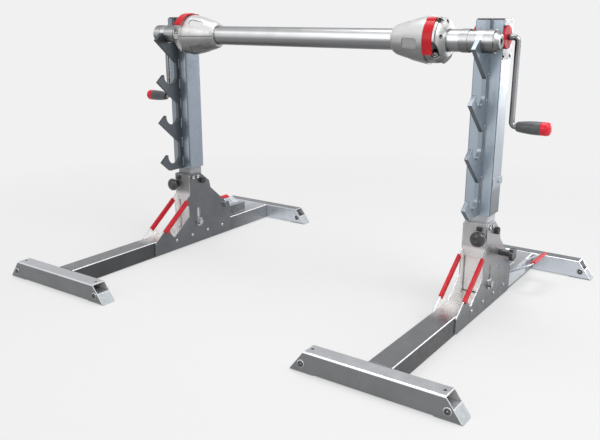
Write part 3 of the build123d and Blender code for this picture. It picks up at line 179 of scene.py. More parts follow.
def tone_along(tree, colour, value, low, high, stops, interpolation="EASE"):
    """Multiply a colour by a tone that depends on a value: stops of (value, tone)."""
    ramp = tree.nodes.new("ShaderNodeValToRGB")
    ramp.color_ramp.interpolation = interpolation
    points = ramp.color_ramp.elements
    while len(points) < len(stops):
        points.new(0.5)
    for point, (place, tone) in zip(points, stops):
        point.position = (place - low) / (high - low)
        point.color = (tone, tone, tone, 1.0)
    tree.links.new(remap(tree, value, low, high), ramp.inputs["Fac"])
    node = tree.nodes.new("ShaderNodeMix")
    node.data_type = "RGBA"
    node.blend_type = "MULTIPLY"
    node.inputs[0].default_value = 1.0
    tree.links.new(colour, node.inputs[6])
    tree.links.new(ramp.outputs["Color"], node.inputs[7])
    return node.outputs[2]


def painted_light_by_facing(tree, colour, stops):
    """Painted light and shade: tops lighter, sides and undersides darker, by how far a face looks up: stops
    of (height of the normal, tone).
    """
    return tone_along(tree, colour, world_normal(tree)[2], -1.0, 1.0, stops)


def stand_offset(tree, place):
    """How far a point lies to the right of the middle plane of its own stand."""
    across = separate(tree, place)[0]
    beyond = math_node(tree, "SUBTRACT", math_node(tree, "ABSOLUTE", across), STAND_X * MM)
    return math_node(tree, "MULTIPLY", beyond, math_node(tree, "SIGN", across))


def inward(tree, place, middle):
    """1 on a hollow section's inner faces, whose middle is (depth, height), or None for a stand's plane."""
    normal = own_normal(tree)
    if middle is None:
        facing = math_node(tree, "MULTIPLY", stand_offset(tree, place), normal[0])
        return remap(tree, facing, -0.004, -0.010)
    parts = []
    for axis, centre in zip((1, 2), middle):
        away = math_node(tree, "SUBTRACT", separate(tree, place)[axis], centre)
        parts.append(math_node(tree, "MULTIPLY", away, normal[axis]))
    return remap(tree, math_node(tree, "ADD", *parts), -0.004, -0.010)


def band_value(tree, place, kind):
    """What bands of tone follow: the offset from the stand's plane, the height or the own normal's x."""
    if kind == "offset":
        return stand_offset(tree, place)
    if kind == "height":
        return separate(tree, place)[2]
    if kind == "stand_height":
        # Negative on the left stand, so that each stand has its own bands
        across = math_node(tree, "SIGN", separate(tree, place)[0])
        return math_node(tree, "MULTIPLY", separate(tree, place)[2], across)
    return own_normal(tree)[0]


def paint_corner_highlight(tree, colour):
    """A painted highlight: a bright line along the upper corners of the beams."""
    normal = world_normal(tree)
    sloping = math_node(
        tree, "MULTIPLY", remap(tree, normal[2], 0.25, 0.5), remap(tree, normal[2], 0.94, 0.85))
    sideways = remap(tree, math_node(tree, "ABSOLUTE", normal[0]), 0.2, 0.4)
    return blend_colors(tree, math_node(tree, "MULTIPLY", sloping, sideways), colour, (0.97, 0.98, 1.0))


def paint_top_sheen(tree, place, colour, near, far):
    """A painted sheen: a beam's flat top turns paler towards the cheeks, between two depths in metres."""
    flat = remap(tree, world_normal(tree)[2], 0.96, 0.99)
    depth = separate(tree, place)[1]
    along = math_node(tree, "MULTIPLY", flat, remap(tree, depth, near, near + 0.11, 0.0, 0.9))
    along = math_node(tree, "MULTIPLY", along, remap(tree, depth, far, far - 0.06))
    return blend_colors(tree, along, colour, (0.93, 0.91, 0.90))


def metal(name, base, dark, metallic, rough, grain=None, spangle=0.0, pitting=0.0, edge=None, facing=None,
          painted_light_ramps=(), relief=1.0, inside=None, bands=None, painted_corner_highlight=False, painted_top_sheen=None):
    """Sheet and bar metal: tone patches, drawn or rolled grain, optional zinc spangle, bright cut edges, and
    optional painted light and shade.

    painted_light_ramps: painted light, a ramp towards a paler colour: (axis, start, end, share, paler colour)
    inside: painted light on inner faces: (middle of the section, colour of its inner faces)
    bands: (kind of value, low, high, stops of tones)
    painted_top_sheen: (start, end) of a painted sheen, the paler part of a flat top, in metres along y
    """
    tree, shader = new_material(name)
    place = coords(tree)
    shader.inputs["Metallic"].default_value = metallic
    patches = remap(tree, noise(tree, place, 9.0, 5.0), 0.32, 0.68)
    colour = blend_colors(tree, patches, base, dark)
    heights = []
    rough_parts = remap(tree, noise(tree, place, 21.0, 6.0, 0.6), 0.3, 0.7, rough - 0.07, rough + 0.08)
    if spangle:
        crystals = separate(tree, cells(tree, place, 95.0))
        tone = remap(tree, crystals[0], 0.0, 1.0, 0.0, spangle)
        colour = blend_colors(tree, tone, colour, dark)
        rough_parts = math_node(tree, "ADD", rough_parts, remap(tree, crystals[1], 0, 1, -0.05, 0.05))
    if grain:
        lines = noise(tree, coords(tree, grain), 1.0, 3.0, 0.6)
        streaks = remap(tree, lines, 0.3, 0.7)
        colour = blend_colors(tree, math_node(tree, "MULTIPLY", streaks, 0.22), colour, dark)
        heights.append((lines, 0.12 * relief, 0.0002))
    if edge:
        side_on = math_node(tree, "ABSOLUTE", own_normal(tree)[0])
        cut = remap(tree, side_on, 0.55, 0.25)
        nicks = remap(tree, noise(tree, place, 160.0, 4.0), 0.35, 0.6, 0.6, 1.0)
        colour = blend_colors(tree, math_node(tree, "MULTIPLY", cut, nicks), colour, edge)
    # Painted light and shade by how far the face looks up
    if facing:
        colour = painted_light_by_facing(tree, colour, facing)
    # Painted light: a ramp towards a paler colour along one axis
    for axis, start, end, share, pale in painted_light_ramps:
        drift = remap(tree, separate(tree, place)[axis], start, end, 0.0, share)
        colour = blend_colors(tree, drift, colour, pale)
    if bands:
        kind, low, high, stops = bands
        colour = tone_along(tree, colour, band_value(tree, place, kind), low, high, stops, "LINEAR")
    # Painted highlight along the beams' upper corners
    if painted_corner_highlight:
        colour = paint_corner_highlight(tree, colour)
    # Painted sheen on a flat top
    if painted_top_sheen:
        colour = paint_top_sheen(tree, place, colour, *painted_top_sheen)
    # Painted light: inner faces of hollows and of the cheeks turn pale and less metallic
    if inside:
        middle, inner_light_colour = inside
        hidden = inward(tree, place, middle)
        colour = blend_colors(tree, hidden, colour, inner_light_colour)
        tree.links.new(remap(tree, hidden, 0.0, 1.0, metallic, 0.1), shader.inputs["Metallic"])
    if pitting:
        heights.append((noise(tree, place, 900.0, 3.0, 0.6), pitting, 0.0003))
    heights.append((noise(tree, place, 14.0, 2.0), 0.05 * relief, 0.002))
    tree.links.new(colour, shader.inputs["Base Color"])
    tree.links.new(rough_parts, shader.inputs["Roughness"])
    bump(tree, shader, heights)


def cast_metal(name, base, dark, facing):
    """Tumbled aluminium casting: fine grain skin, soft tone patches, painted shade in the hollows and painted
    light and shade by facing.
    """
    tree, shader = new_material(name)
    place = coords(tree)
    shader.inputs["Metallic"].default_value = 0.55
    patches = remap(tree, noise(tree, place, 26.0, 6.0, 0.6), 0.3, 0.7)
    specks = remap(tree, noise(tree, place, 520.0, 2.0), 0.35, 0.72)
    colour = blend_colors(tree, math_node(tree, "MULTIPLY", patches, 0.5), base, dark)
    colour = blend_colors(tree, math_node(tree, "MULTIPLY", specks, 0.28), colour, dark)
    # Painted shade: darker where ambient occlusion finds a hollow
    hollow = tree.nodes.new("ShaderNodeAmbientOcclusion")
    hollow.samples = 8
    hollow.inputs["Distance"].default_value = 0.006
    painted_hollow_shade = remap(tree, hollow.outputs["AO"], 0.35, 0.95, 0.75, 0.0)
    colour = blend_colors(tree, painted_hollow_shade, colour, (0.12, 0.12, 0.125))
    tree.links.new(painted_light_by_facing(tree, colour, facing), shader.inputs["Base Color"])
    tree.links.new(remap(tree, patches, 0, 1, 0.30, 0.44), shader.inputs["Roughness"])
    bump(tree, shader, [(noise(tree, place, 700.0, 3.0), 0.25, 0.0003), (patches, 0.06, 0.0012)])


def painted(name, base, deep, rough, chip):
    """Paint or powder coat: orange peel, faint tone drift and small worn spots."""
    tree, shader = new_material(name)
    place = coords(tree)
    shader.inputs["Coat Weight"].default_value = 0.08
    shader.inputs["Specular IOR Level"].default_value = 0.25
    shader.inputs["Coat Roughness"].default_value = 0.15
    drift = remap(tree, noise(tree, place, 18.0, 4.0), 0.3, 0.7)
    colour = blend_colors(tree, drift, base, deep)
    spots = remap(tree, noise(tree, place, 240.0, 5.0, 0.7), 0.70, 0.76)
    colour = blend_colors(tree, spots, colour, chip)
    tree.links.new(colour, shader.inputs["Base Color"])
    tree.links.new(remap(tree, drift, 0, 1, rough - 0.05, rough + 0.07), shader.inputs["Roughness"])
    bump(tree, shader, [(noise(tree, place, 420.0, 2.0), 0.10, 0.0004)])


def plastic(name, base, deep, rough, texture=700.0, strength=0.2, coat=0.0):
    """Moulded plastic or rubber: fine eroded texture with scuffed, paler patches."""
    tree, shader = new_material(name)
    place = coords(tree)
    shader.inputs["Coat Weight"].default_value = coat
    shader.inputs["Specular IOR Level"].default_value = 0.32
    scuffs = remap(tree, noise(tree, place, 60.0, 6.0, 0.65), 0.35, 0.75)
    colour = blend_colors(tree, scuffs, base, deep)
    tree.links.new(colour, shader.inputs["Base Color"])
    tree.links.new(remap(tree, scuffs, 0, 1, rough, rough + 0.12), shader.inputs["Roughness"])
    bump(tree, shader, [(noise(tree, place, texture, 2.0), strength, 0.0003)])


# Painted light and shade by how far a face looks up, from -1 below to 1 on top
PLATE_PAINTED_LIGHT = ((-1.0, 0.30), (0.0, 0.27), (0.3, 1.0), (0.85, 1.0), (1.0, 0.60))
ROUND_PAINTED_LIGHT = ((-0.9, 0.13), (-0.3, 0.24), (0.15, 0.62), (0.40, 1.0), (0.60, 0.50), (0.9, 0.26))
BOLT_PAINTED_LIGHT = ((-0.9, 0.25), (-0.2, 0.60), (0.2, 1.0), (0.6, 1.0), (1.0, 0.9))
CAST_PAINTED_LIGHT = ((-0.9, 0.16), (-0.35, 0.30), (0.05, 0.64), (0.4, 0.92), (1.0, 0.60))
REAR_PAINTED_LIGHT = ((-1.0, 0.5), (0.0, 1.0), (0.3, 1.0), (0.85, 0.8), (1.0, 0.26))
RAIL_PAINTED_LIGHT = ((-1.0, 0.30), (-0.5, 0.36), (-0.12, 1.0), (0.15, 1.0), (0.5, 0.66), (1.0, 0.66))

# Painted light and shade in bands: what they follow, its range, and stops of (value, tone)
ROD_BANDS = ("normal", -1.0, 1.0, (
    (-0.8, 0.22), (0.0, 0.42), (0.5, 0.5), (0.76, 1.0), (0.9, 1.0), (1.0, 0.5)))
SLEEVE_BANDS = ("height", 0.30, 0.84, (
    (0.30, 0.36), (0.37, 0.52), (0.385, 0.85), (0.55, 0.95), (0.84, 0.95)))
BRIDGE_BANDS = ("stand_height", -0.30, 0.30, (
    (-0.29, 0.24), (-0.215, 0.28), (-0.195, 0.9), (0.0, 0.95), (0.198, 1.0), (0.206, 0.58), (0.29, 0.52)))

# Directions of the drawn or rolled grain: a small scale is the long way
LONG_GRAIN = (160.0, 160.0, 3.0)
FOOT_GRAIN = (4.0, 150.0, 150.0)
CHEEK_GRAIN = (160.0, 4.0, 40.0)
BEAM_GRAIN = (150.0, 4.0, 150.0)
AXLE_GRAIN = (400.0, 12.0, 12.0)
TUBE_GRAIN = (5.0, 160.0, 160.0)
NUT_GRAIN = (200.0, 200.0, 10.0)

# Painted-light white: the pale of lit faces, painted on the cheeks' inner faces, the bridge plates and the
# masts' low ends
PAINTED_LIGHT_WHITE = (0.96, 0.96, 0.95)
CUT_EDGE = (0.5, 0.52, 0.55)
# Painted light inside the feet's hollows, and the middle of each foot's section (depth, height) in metres
FOOT_INNER_LIGHT = (0.62, 0.62, 0.60)
FRONT_FOOT_MIDDLE = (-0.536, 0.033)
REAR_FOOT_MIDDLE = (0.539, 0.033)
# Painted sheen on the beams' tops: where it starts and ends along y, in metres
BEAM_SHEEN_SPAN = (-0.19, 0.10)


def rail_steel(name, front, plate):
    """Carrier and hook plate, painted light and shade: tones for the carrier's front and the hook plate, a
    painted shadow beside the plate's foot, a painted highlight strip and painted shade on the carrier's side
    faces.
    """
    bright = min(1.0, 1.5 * front)
    bands = ("offset", -0.04, 0.04, (
        (-0.0385, 0.35), (-0.036, front), (-0.0070, front), (-0.0066, plate), (0.0066, plate),
        (0.0070, 0.6 * front), (0.0110, front), (0.030, front), (0.0335, bright), (0.0374, bright),
        (0.0380, 0.30)))
    metal(name, (0.43, 0.50, 0.57), (0.395, 0.46, 0.525), 0.75, 0.34, spangle=0.03, pitting=0.03,
          facing=RAIL_PAINTED_LIGHT, relief=0.5, bands=bands)


# Zinc-plated sheet and tube
metal("galvanised", (0.285, 0.325, 0.385), (0.268, 0.306, 0.362), 0.74, 0.34, LONG_GRAIN, spangle=0.03,
      relief=0.35)
# A lit copy of the zinc sheet for the right outer sleeve, lighter, with painted shade darker towards its
# bottom
metal("sleeve_steel", (0.50, 0.55, 0.61), (0.47, 0.518, 0.576), 0.7, 0.36, LONG_GRAIN, spangle=0.03,
      relief=0.35, bands=SLEEVE_BANDS)
# Shaded and lit copies of one zinc sheet: the right mast is painted lighter, and each is painted pale below
# about 0.2 m, a painted highlight between the cheeks
metal("mast_steel_left", (0.34, 0.345, 0.36), (0.28, 0.285, 0.30), 0.3, 0.36, LONG_GRAIN, spangle=0.05,
      painted_light_ramps=((2, 0.215, 0.195, 0.7, PAINTED_LIGHT_WHITE),))
metal("mast_steel_right", (0.57, 0.585, 0.62), (0.52, 0.53, 0.565), 0.3, 0.36, LONG_GRAIN, spangle=0.05,
      painted_light_ramps=((2, 0.208, 0.200, 0.9, PAINTED_LIGHT_WHITE),))
# Shaded and lit copies: the right stand's carrier and hook plate are painted lighter
rail_steel("rail_steel_left", 0.64, 0.25)
rail_steel("rail_steel_right", 0.92, 0.68)
# Cheeks, with painted light on their inner faces, and a lit copy for the right stand's outer cheek that is
# painted paler towards its top
for name, painted_light_ramps in (("cheek_steel", ()), ("cheek_steel_lit", ((2, 0.04, 0.21, 0.85, (0.46, 0.46, 0.47)),))):
    metal(name, (0.165, 0.17, 0.182), (0.125, 0.13, 0.14), 0.8, 0.32, CHEEK_GRAIN, spangle=0.06, pitting=0.08,
          edge=CUT_EDGE, painted_light_ramps=painted_light_ramps, inside=(None, PAINTED_LIGHT_WHITE))
# Bridge plates: painted light and shade, a white base with bands by height that turn darker above about 0.2
# m, most on the left stand
metal("bridge_steel", PAINTED_LIGHT_WHITE, (0.88, 0.89, 0.90), 0.1, 0.42, FOOT_GRAIN, spangle=0.05, pitting=0.05,
      bands=BRIDGE_BANDS)
# Beams: painted light and shade by facing, a painted highlight on the upper corners, a painted sheen on the
# top near the cheeks, and painted light towards the back
metal("beam_steel", (0.33, 0.335, 0.35), (0.25, 0.255, 0.27), 0.85, 0.30, BEAM_GRAIN, spangle=0.06,
      pitting=0.05, facing=PLATE_PAINTED_LIGHT, painted_corner_highlight=True, painted_top_sheen=BEAM_SHEEN_SPAN,
      painted_light_ramps=((1, 0.22, 0.50, 0.6, (0.55, 0.57, 0.60)),))
metal("foot_steel", (0.80, 0.815, 0.85), (0.68, 0.69, 0.72), 0.85, 0.30, FOOT_GRAIN, spangle=0.06,
      pitting=0.05, facing=PLATE_PAINTED_LIGHT, inside=(FRONT_FOOT_MIDDLE, FOOT_INNER_LIGHT))
metal("rear_foot_steel", (0.70, 0.74, 0.80), (0.60, 0.635, 0.69), 0.85, 0.32, FOOT_GRAIN, spangle=0.06,
      pitting=0.05, facing=REAR_PAINTED_LIGHT, inside=(REAR_FOOT_MIDDLE, FOOT_INNER_LIGHT))
metal("handle_steel", (0.70, 0.74, 0.80), (0.60, 0.635, 0.69), 0.85, 0.32, FOOT_GRAIN, spangle=0.06,
      pitting=0.05)

# Turned, drawn, welded and cast metal
# Chrome, axle ends, tube and castings carry painted light and shade by facing
metal("chrome", (0.62, 0.63, 0.65), (0.52, 0.53, 0.55), 1.0, 0.18, AXLE_GRAIN, facing=BOLT_PAINTED_LIGHT)
metal("axle_chrome", (0.72, 0.73, 0.74), (0.64, 0.65, 0.66), 0.95, 0.38, AXLE_GRAIN, facing=ROUND_PAINTED_LIGHT,
      relief=0.4)
# Painted light and shade: bands across the crank rods by the own normal's x, with a painted highlight
metal("rod_chrome", (0.56, 0.57, 0.59), (0.48, 0.49, 0.51), 1.0, 0.20, bands=ROD_BANDS, relief=0.4)
# A near-white base that the round facing tones darken outside one band: a painted highlight along the tube
metal("turned_steel", (0.97, 0.98, 1.0), (0.93, 0.94, 0.96), 0.95, 0.34, TUBE_GRAIN, facing=ROUND_PAINTED_LIGHT,
      relief=0.3)
metal("weld", (0.28, 0.295, 0.32), (0.18, 0.19, 0.21), 0.85, 0.36, pitting=0.3)
metal("brass", (0.72, 0.55, 0.26), (0.55, 0.40, 0.17), 1.0, 0.3, NUT_GRAIN)
cast_metal("cast_aluminium", (0.83, 0.83, 0.825), (0.62, 0.62, 0.62), CAST_PAINTED_LIGHT)

# Paint, plastic and rubber
painted("red_steel", (0.60, 0.007, 0.018), (0.48, 0.005, 0.013), 0.34, chip=(0.42, 0.40, 0.40))
plastic("red_disc", (0.50, 0.008, 0.022), (0.40, 0.006, 0.018), 0.5)
plastic("red_plastic", (0.74, 0.014, 0.036), (0.60, 0.010, 0.026), 0.3, coat=0.1)
plastic("red_sleeve", (0.60, 0.008, 0.022), (0.46, 0.006, 0.016), 0.42, texture=500.0, strength=0.3)
plastic("black_plastic", (0.030, 0.031, 0.034), (0.052, 0.053, 0.057), 0.26, coat=0.5)
plastic("dark_grip", (0.078, 0.081, 0.087), (0.115, 0.118, 0.124), 0.28, texture=420.0, strength=0.3)
plastic("slide_pad", (0.72, 0.73, 0.72), (0.60, 0.61, 0.60), 0.45)
plastic("pad_rubber", (0.46, 0.50, 0.52), (0.34, 0.37, 0.39), 0.5, texture=300.0, strength=0.3)
plastic("black_rubber", (0.03, 0.03, 0.033), (0.06, 0.06, 0.06), 0.6, texture=300.0, strength=0.4)

# The start of a node's name and its material; every other node has the material of its slot
NODE_MATERIALS = {
    "cheek_outer_right": "cheek_steel_lit",
    "cheek": "cheek_steel",
    "bridge_plates": "bridge_steel",
    "inner_mast_left": "mast_steel_left",
    "inner_mast_right": "mast_steel_right",
    "outer_sleeve_right": "sleeve_steel",
    "hook_rail_left": "rail_steel_left",
    "hook_rail_right": "rail_steel_right",
    "rear_foot": "rear_foot_steel",
    "rear_handles": "handle_steel",
    "front_foot": "foot_steel",
    "crank_discs": "red_disc",
    "crank_left": "rod_chrome",
    "crank_right": "rod_chrome",
    "axle_ends": "axle_chrome",
}
record_slots = {part["node"]: part["material_slot"] for part in frame["record"]["subparts"]}


def material_for(node):
    for start, name in NODE_MATERIALS.items():
        if node.startswith(start):
            return MATERIALS[name]
    return MATERIALS[record_slots[node]]


# Broken edges in millimetres. The feet stay without them: their slanted open ends don't take the modifiers.
EDGE_WIDTH = {
    "base_beam": 0.7,
    "cheek": 0.5,
    "bridge_plates": 0.6,
    "rear_handles": 0.6,
    "hook_rail": 0.6,
    "outer_sleeve": 0.5,
    "inner_mast": 0.5,
    "foot_pads": 0.8,
    "handle_grips": 0.6,
    "gear_covers": 0.3,
    "clamp_lever": 0.8,
    "fold_lock": 1.5,
    "cone_lever": 0.4,
    "cone_plain": 0.4,
    "crank_discs": 0.5,
    "top_cap": 0.5,
    "lock_housings": 0.6,
}
MERGE_DISTANCE = 0.00002
FLAT_ANGLE = 0.6
SHARP_ANGLE = 32.0


def soften_edges(obj, width):
    """Broken edges on a sharp-cornered solid, without touching its mesh."""
    weld = obj.modifiers.new("Weld", "WELD")
    weld.merge_threshold = MERGE_DISTANCE
    flat = obj.modifiers.new("Flat", "DECIMATE")
    flat.decimate_type = "DISSOLVE"
    flat.angle_limit = math.radians(FLAT_ANGLE)
    bevel = obj.modifiers.new("Bevel", "BEVEL")
    bevel.width = width * MM
    bevel.segments = 2
    bevel.limit_method = "ANGLE"
    bevel.angle_limit = math.radians(SHARP_ANGLE)
    bevel.use_clamp_overlap = False
    shade = obj.modifiers.new("Shade", "WEIGHTED_NORMAL")
    shade.weight = 60


for name, obj in nodes.items():
    obj.data.materials.clear()
    obj.data.materials.append(material_for(name))
    for start, width in EDGE_WIDTH.items():
        if name.startswith(start):
            soften_edges(obj, width)


# Detail pieces, built in the row frame in millimetres and scaled to metres
def to_object(name, bm, material, body):
    bmesh.ops.recalc_face_normals(bm, faces=bm.faces)
    bmesh.ops.scale(bm, vec=(MM, MM, MM), verts=bm.verts)
    mesh = bpy.data.meshes.new(name)
    bm.to_mesh(mesh)
    bm.free()
    for face in mesh.polygons:
        face.use_smooth = True
    obj = bpy.data.objects.new(name, mesh)
    bpy.context.scene.collection.objects.link(obj)
    obj.data.materials.append(MATERIALS[material])
    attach(obj, body)
    return obj


def hexagon_radius(half_across, angle):
    """The radius at an angle of a hexagon that is given by half its size across flats."""
    sector = (angle + math.pi / 6) % (math.pi / 3) - math.pi / 6
    return half_across / math.cos(sector)


def turned(bm, origin, axis, rings, segments=48):
    """A closed turned solid: rings of (distance along the axis, radius), and "hex" third for a hexagon."""
    axis = Vector(axis).normalized()
    side = axis.orthogonal().normalized()
    up = axis.cross(side)
    loops = []
    for along, radius, *kind in rings:
        centre = Vector(origin) + axis * along
        if radius == 0:
            loops.append([bm.verts.new(centre)])
            continue
        loop = []
        for step in range(segments):
            angle = 2 * math.pi * step / segments
            out = hexagon_radius(radius, angle) if kind else radius
            corner = centre + side * (out * math.cos(angle)) + up * (out * math.sin(angle))
            loop.append(bm.verts.new(corner))
        loops.append(loop)
    for first, second in zip(loops, loops[1:]):
        for step in range(segments):
            after = (step + 1) % segments
            if len(first) == 1:
                bm.faces.new((first[0], second[step], second[after]))
            elif len(second) == 1:
                bm.faces.new((first[after], first[step], second[0]))
            else:
                bm.faces.new((first[after], first[step], second[step], second[after]))


def dome_head(bm, origin, axis, radius, height):
    """A low rivet head with a soft foot."""
    foot = 0.25 * height
    rings = [(-SUNK, 0), (-SUNK, radius), (foot, radius)]
    for step in range(1, 7):
        turn = math.pi / 2 * step / 7
        rings.append((foot + 0.75 * height * math.sin(turn), radius * math.cos(turn * 0.92)))
    rings.append((height, 0))
    turned(bm, origin, axis, rings, 36)


def socket_head(bm, origin, axis, radius, height, across):
    """A round screw head with a chamfer and a hexagon socket."""
    edge = 0.12 * radius
    turned(bm, origin, axis, [
        (-SUNK, 0), (-SUNK, radius), (height - edge, radius),
        (height - 0.3 * edge, radius - 0.3 * edge), (height, radius - edge),
        (height, across / 2 + 0.3, "hex"), (height - 0.3, across / 2, "hex"),
        (height * 0.35, across / 2, "hex"), (height * 0.25, 0),
    ])


def hex_nut(bm, origin, axis, across, height, bore):
    """A chamfered nut with the bolt's end in it."""
    turned(bm, origin, axis, [
        (-SUNK, 0), (-SUNK, across / 2, "hex"), (height * 0.8, across / 2, "hex"),
        (height, across / 2 * 0.93), (height, bore + 0.4), (height * 0.8, bore),
        (height * 0.82, bore * 0.9), (height * 0.82, 0),
    ])


WELD_STEP = 0.9
WELD_PROFILE = (-8, 15, 45, 75, 98)


def weld_bead(bm, start, end, out_a, out_b, radius, seed):
    """A rippled fillet weld between two faces that meet along a line."""
    start, end = Vector(start), Vector(end)
    out_a, out_b = Vector(out_a), Vector(out_b)
    length = (end - start).length
    steps = max(8, int(length / WELD_STEP))
    rng = random.Random(seed)
    phase = rng.random() * 6
    rows = []
    for index in range(steps + 1):
        share = index / steps
        point = start.lerp(end, share)
        run_in = 6 * share * length / (10 * radius) + 0.25
        run_out = 6 * (1 - share) * length / (10 * radius) + 0.25
        ripple = 1 + 0.09 * math.sin(share * length * 2.2 + phase) + 0.03 * rng.uniform(-1, 1)
        size = radius * min(1.0, run_in, run_out) * ripple
        row = []
        for angle in WELD_PROFILE:
            turn = math.radians(angle)
            belly = 0.86 if angle == 45 else 1.0
            along_a = out_a * (size * belly * math.cos(turn))
            along_b = out_b * (size * belly * math.sin(turn))
            row.append(bm.verts.new(point + along_a + along_b))
        row.append(bm.verts.new(point - out_a * 0.3 - out_b * 0.3))
        rows.append(row)
    for first, second in zip(rows, rows[1:]):
        for index in range(6):
            after = (index + 1) % 6
            bm.faces.new((first[index], first[after], second[after], second[index]))
    bm.faces.new(rows[0])
    bm.faces.new(list(reversed(rows[-1])))


def local_x(side, x):
    """A stand's own x, which points away from the drum, in the row frame."""
    return SIDES[side] * (STAND_X + x)


# Rivets, screws, washers and nuts of the bases
WASHER = [(-0.3, 0), (-0.3, 10.8), (0.9, 10.8), (1.3, 10.3), (1.3, 0)]
bm = bmesh.new()
for side, sign in SIDES.items():
    for face in (-1, 1):
        outside = local_x(side, face * CHEEK_OUTER_X)
        inside = local_x(side, face * CHEEK_INNER_X)
        out = (face * sign, 0, 0)
        back = (-face * sign, 0, 0)
        for y in RIVET_YS:
            dome_head(bm, (outside, y, RIVET_Z), out, 6.0, 2.5)
            dome_head(bm, (inside, y, RIVET_Z), back, 5.0, 2.4)
        for y in TOP_SCREW_YS:
            socket_head(bm, (outside, y, TOP_SCREW_Z), out, 7.0, 4.0, 5.0)
    for x in FOOT_BOLT_XS:
        for near, far in (FRONT_FOOT_YS, REAR_FOOT_YS):
            for y, out_y in ((near, -1), (far, 1)):
                turned(bm, (local_x(side, x), y, FOOT_BOLT_Z), (0, out_y, 0), WASHER)
            hex_nut(bm, (local_x(side, x), far + 1.0, FOOT_BOLT_Z), (0, 1, 0), 13.0, 2.5, 4.0)
fasteners = to_object("fastener_heads", bm, "chrome", "base")
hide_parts("base_fasteners")
bm = bmesh.new()
for side in SIDES:
    for x in FOOT_BOLT_XS:
        for y in (FRONT_FOOT_YS[0], REAR_FOOT_YS[0]):
            socket_head(bm, (local_x(side, x), y, FOOT_BOLT_Z), (0, -1, 0), 8.0, 3.5, 6.0)
to_object("foot_bolt_heads", bm, "black_plastic", "base")

# Lock knobs: a pin, a collar, a round ball with a flat face and the dimple in that face
for side in SIDES:
    rings = [(-31.9, 0), (-31.9, 3.9), (-31.1, 4.7), (0.4, 4.7), (0.4, 9.4), (0.9, 10.0), (3.6, 10.0)]
    for step in range(15):
        along = 4.0 + 19.4 * step / 14
        rings.append((along, 23.0 * math.sqrt(1 - ((along - 12.0) / 13.0) ** 2)))
    rings += [(24.0, 8.6), (24.0, 5.2), (23.2, 4.6), (23.2, 0)]
    bm = bmesh.new()
    lock_x, lock_y, lock_z = LOCK_PLACE
    turned(bm, (local_x(side, lock_x), lock_y, lock_z), (0, -1, 0), rings, 64)
    knob = to_object("lock_ball_" + side, bm, "black_plastic", "front_lock_" + side)
    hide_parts("front_lock_" + side)

# Weld beads: feet to beams, then hook plates to carriers and carriers to sleeves
seed = 1
bm = bmesh.new()
for side, sign in SIDES.items():
    for y, out_y in ((FRONT_FOOT_YS[1], 1), (REAR_FOOT_YS[0], -1)):
        for face in (-1, 1):
            x = local_x(side, face * BEAM_SIDE_X)
            low, high = BEAM_WELD_ZS
            weld_bead(bm, (x, y, low), (x, y, high), (face * sign, 0, 0), (0, out_y, 0), 3.2, seed)
            seed += 1
to_object("base_welds", bm, "weld", "base")
for side, sign in SIDES.items():
    bm = bmesh.new()
    for face in (-1, 1):
        out = (face * sign, 0, 0)
        for z in RAIL_WELD_ZS:
            x = local_x(side, face * HOOK_PLATE_SIDE_X)
            y = HOOK_PLATE_FOOT_Y
            weld_bead(bm, (x, y, z), (x, y, z + 38.0), out, (0, -1, 0), 2.6, seed)
            seed += 1
            x = local_x(side, face * RAIL_SIDE_X)
            y = RAIL_BACK_Y
            weld_bead(bm, (x, y, z + 8.0), (x, y, z + 34.0), out, (0, 1, 0), 1.4, seed)
            seed += 1
    to_object("rail_welds_" + side, bm, "weld", "sleeve_" + side)

# Screws of the cones: the lever's black shoulder screw and the bright clamping screws. Each cone has its
# shift along the axle and its turn about it, in degrees.
CONES = {"left": (13.0, -3.0), "right": (0.0, -53.0)}
LEVER_PIVOT_TURN = 110.0
LEVER_PIVOT_R = 61.0
LEVER_SCREW_X = 424.0
LEVER_SCREW_LENGTH = 40.3
LUG_X = 468.0
LUG_R = 54.0
LUG_HALF = 8.0
SHOULDER = [(0.0, 0), (0.0, 3.5), (LEVER_SCREW_LENGTH, 3.5), (LEVER_SCREW_LENGTH, 0)]
SCREW_AND_NUT = [
    (-16.0, 0), (-16.0, 5.0), (-0.2, 5.0), (-0.2, 8.5, "hex"), (2.4, 8.5, "hex"), (3.0, 7.6), (3.0, 0)]
for side, (shift, degrees) in CONES.items():
    sign = SIDES[side]
    turn = math.radians(degrees)
    along_y = Vector((0.0, math.cos(turn), -math.sin(turn)))
    along_z = Vector((0.0, math.sin(turn), math.cos(turn)))
    pivot = turn + math.radians(LEVER_PIVOT_TURN)
    pivot_place = Vector((0.0, -LEVER_PIVOT_R * math.cos(pivot), AXLE_Z + LEVER_PIVOT_R * math.sin(pivot)))
    screw_place = pivot_place + Vector((sign * (LEVER_SCREW_X + shift), 0, 0))
    head_place = pivot_place + Vector((sign * (LEVER_SCREW_X + LEVER_SCREW_LENGTH + shift), 0, 0))
    bm = bmesh.new()
    turned(bm, screw_place, (sign, 0, 0), SHOULDER)
    socket_head(bm, head_place, (sign, 0, 0), 7.0, 3.9, 6.0)
    screw = to_object("lever_screw_" + side, bm, "black_plastic", "cone_" + side)
    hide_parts("cone_screws_" + side)
    bm = bmesh.new()
    for lug in (-1, 1):
        centre = Vector((sign * (LUG_X + shift), 0, AXLE_Z)) + along_y * (LUG_R * lug)
        socket_head(bm, centre + along_z * LUG_HALF, along_z, 8.5, 6.0, 8.0)
        turned(bm, centre - along_z * LUG_HALF, -along_z, SCREW_AND_NUT)
    to_object("lug_screws_" + side, bm, "chrome", "cone_" + side)

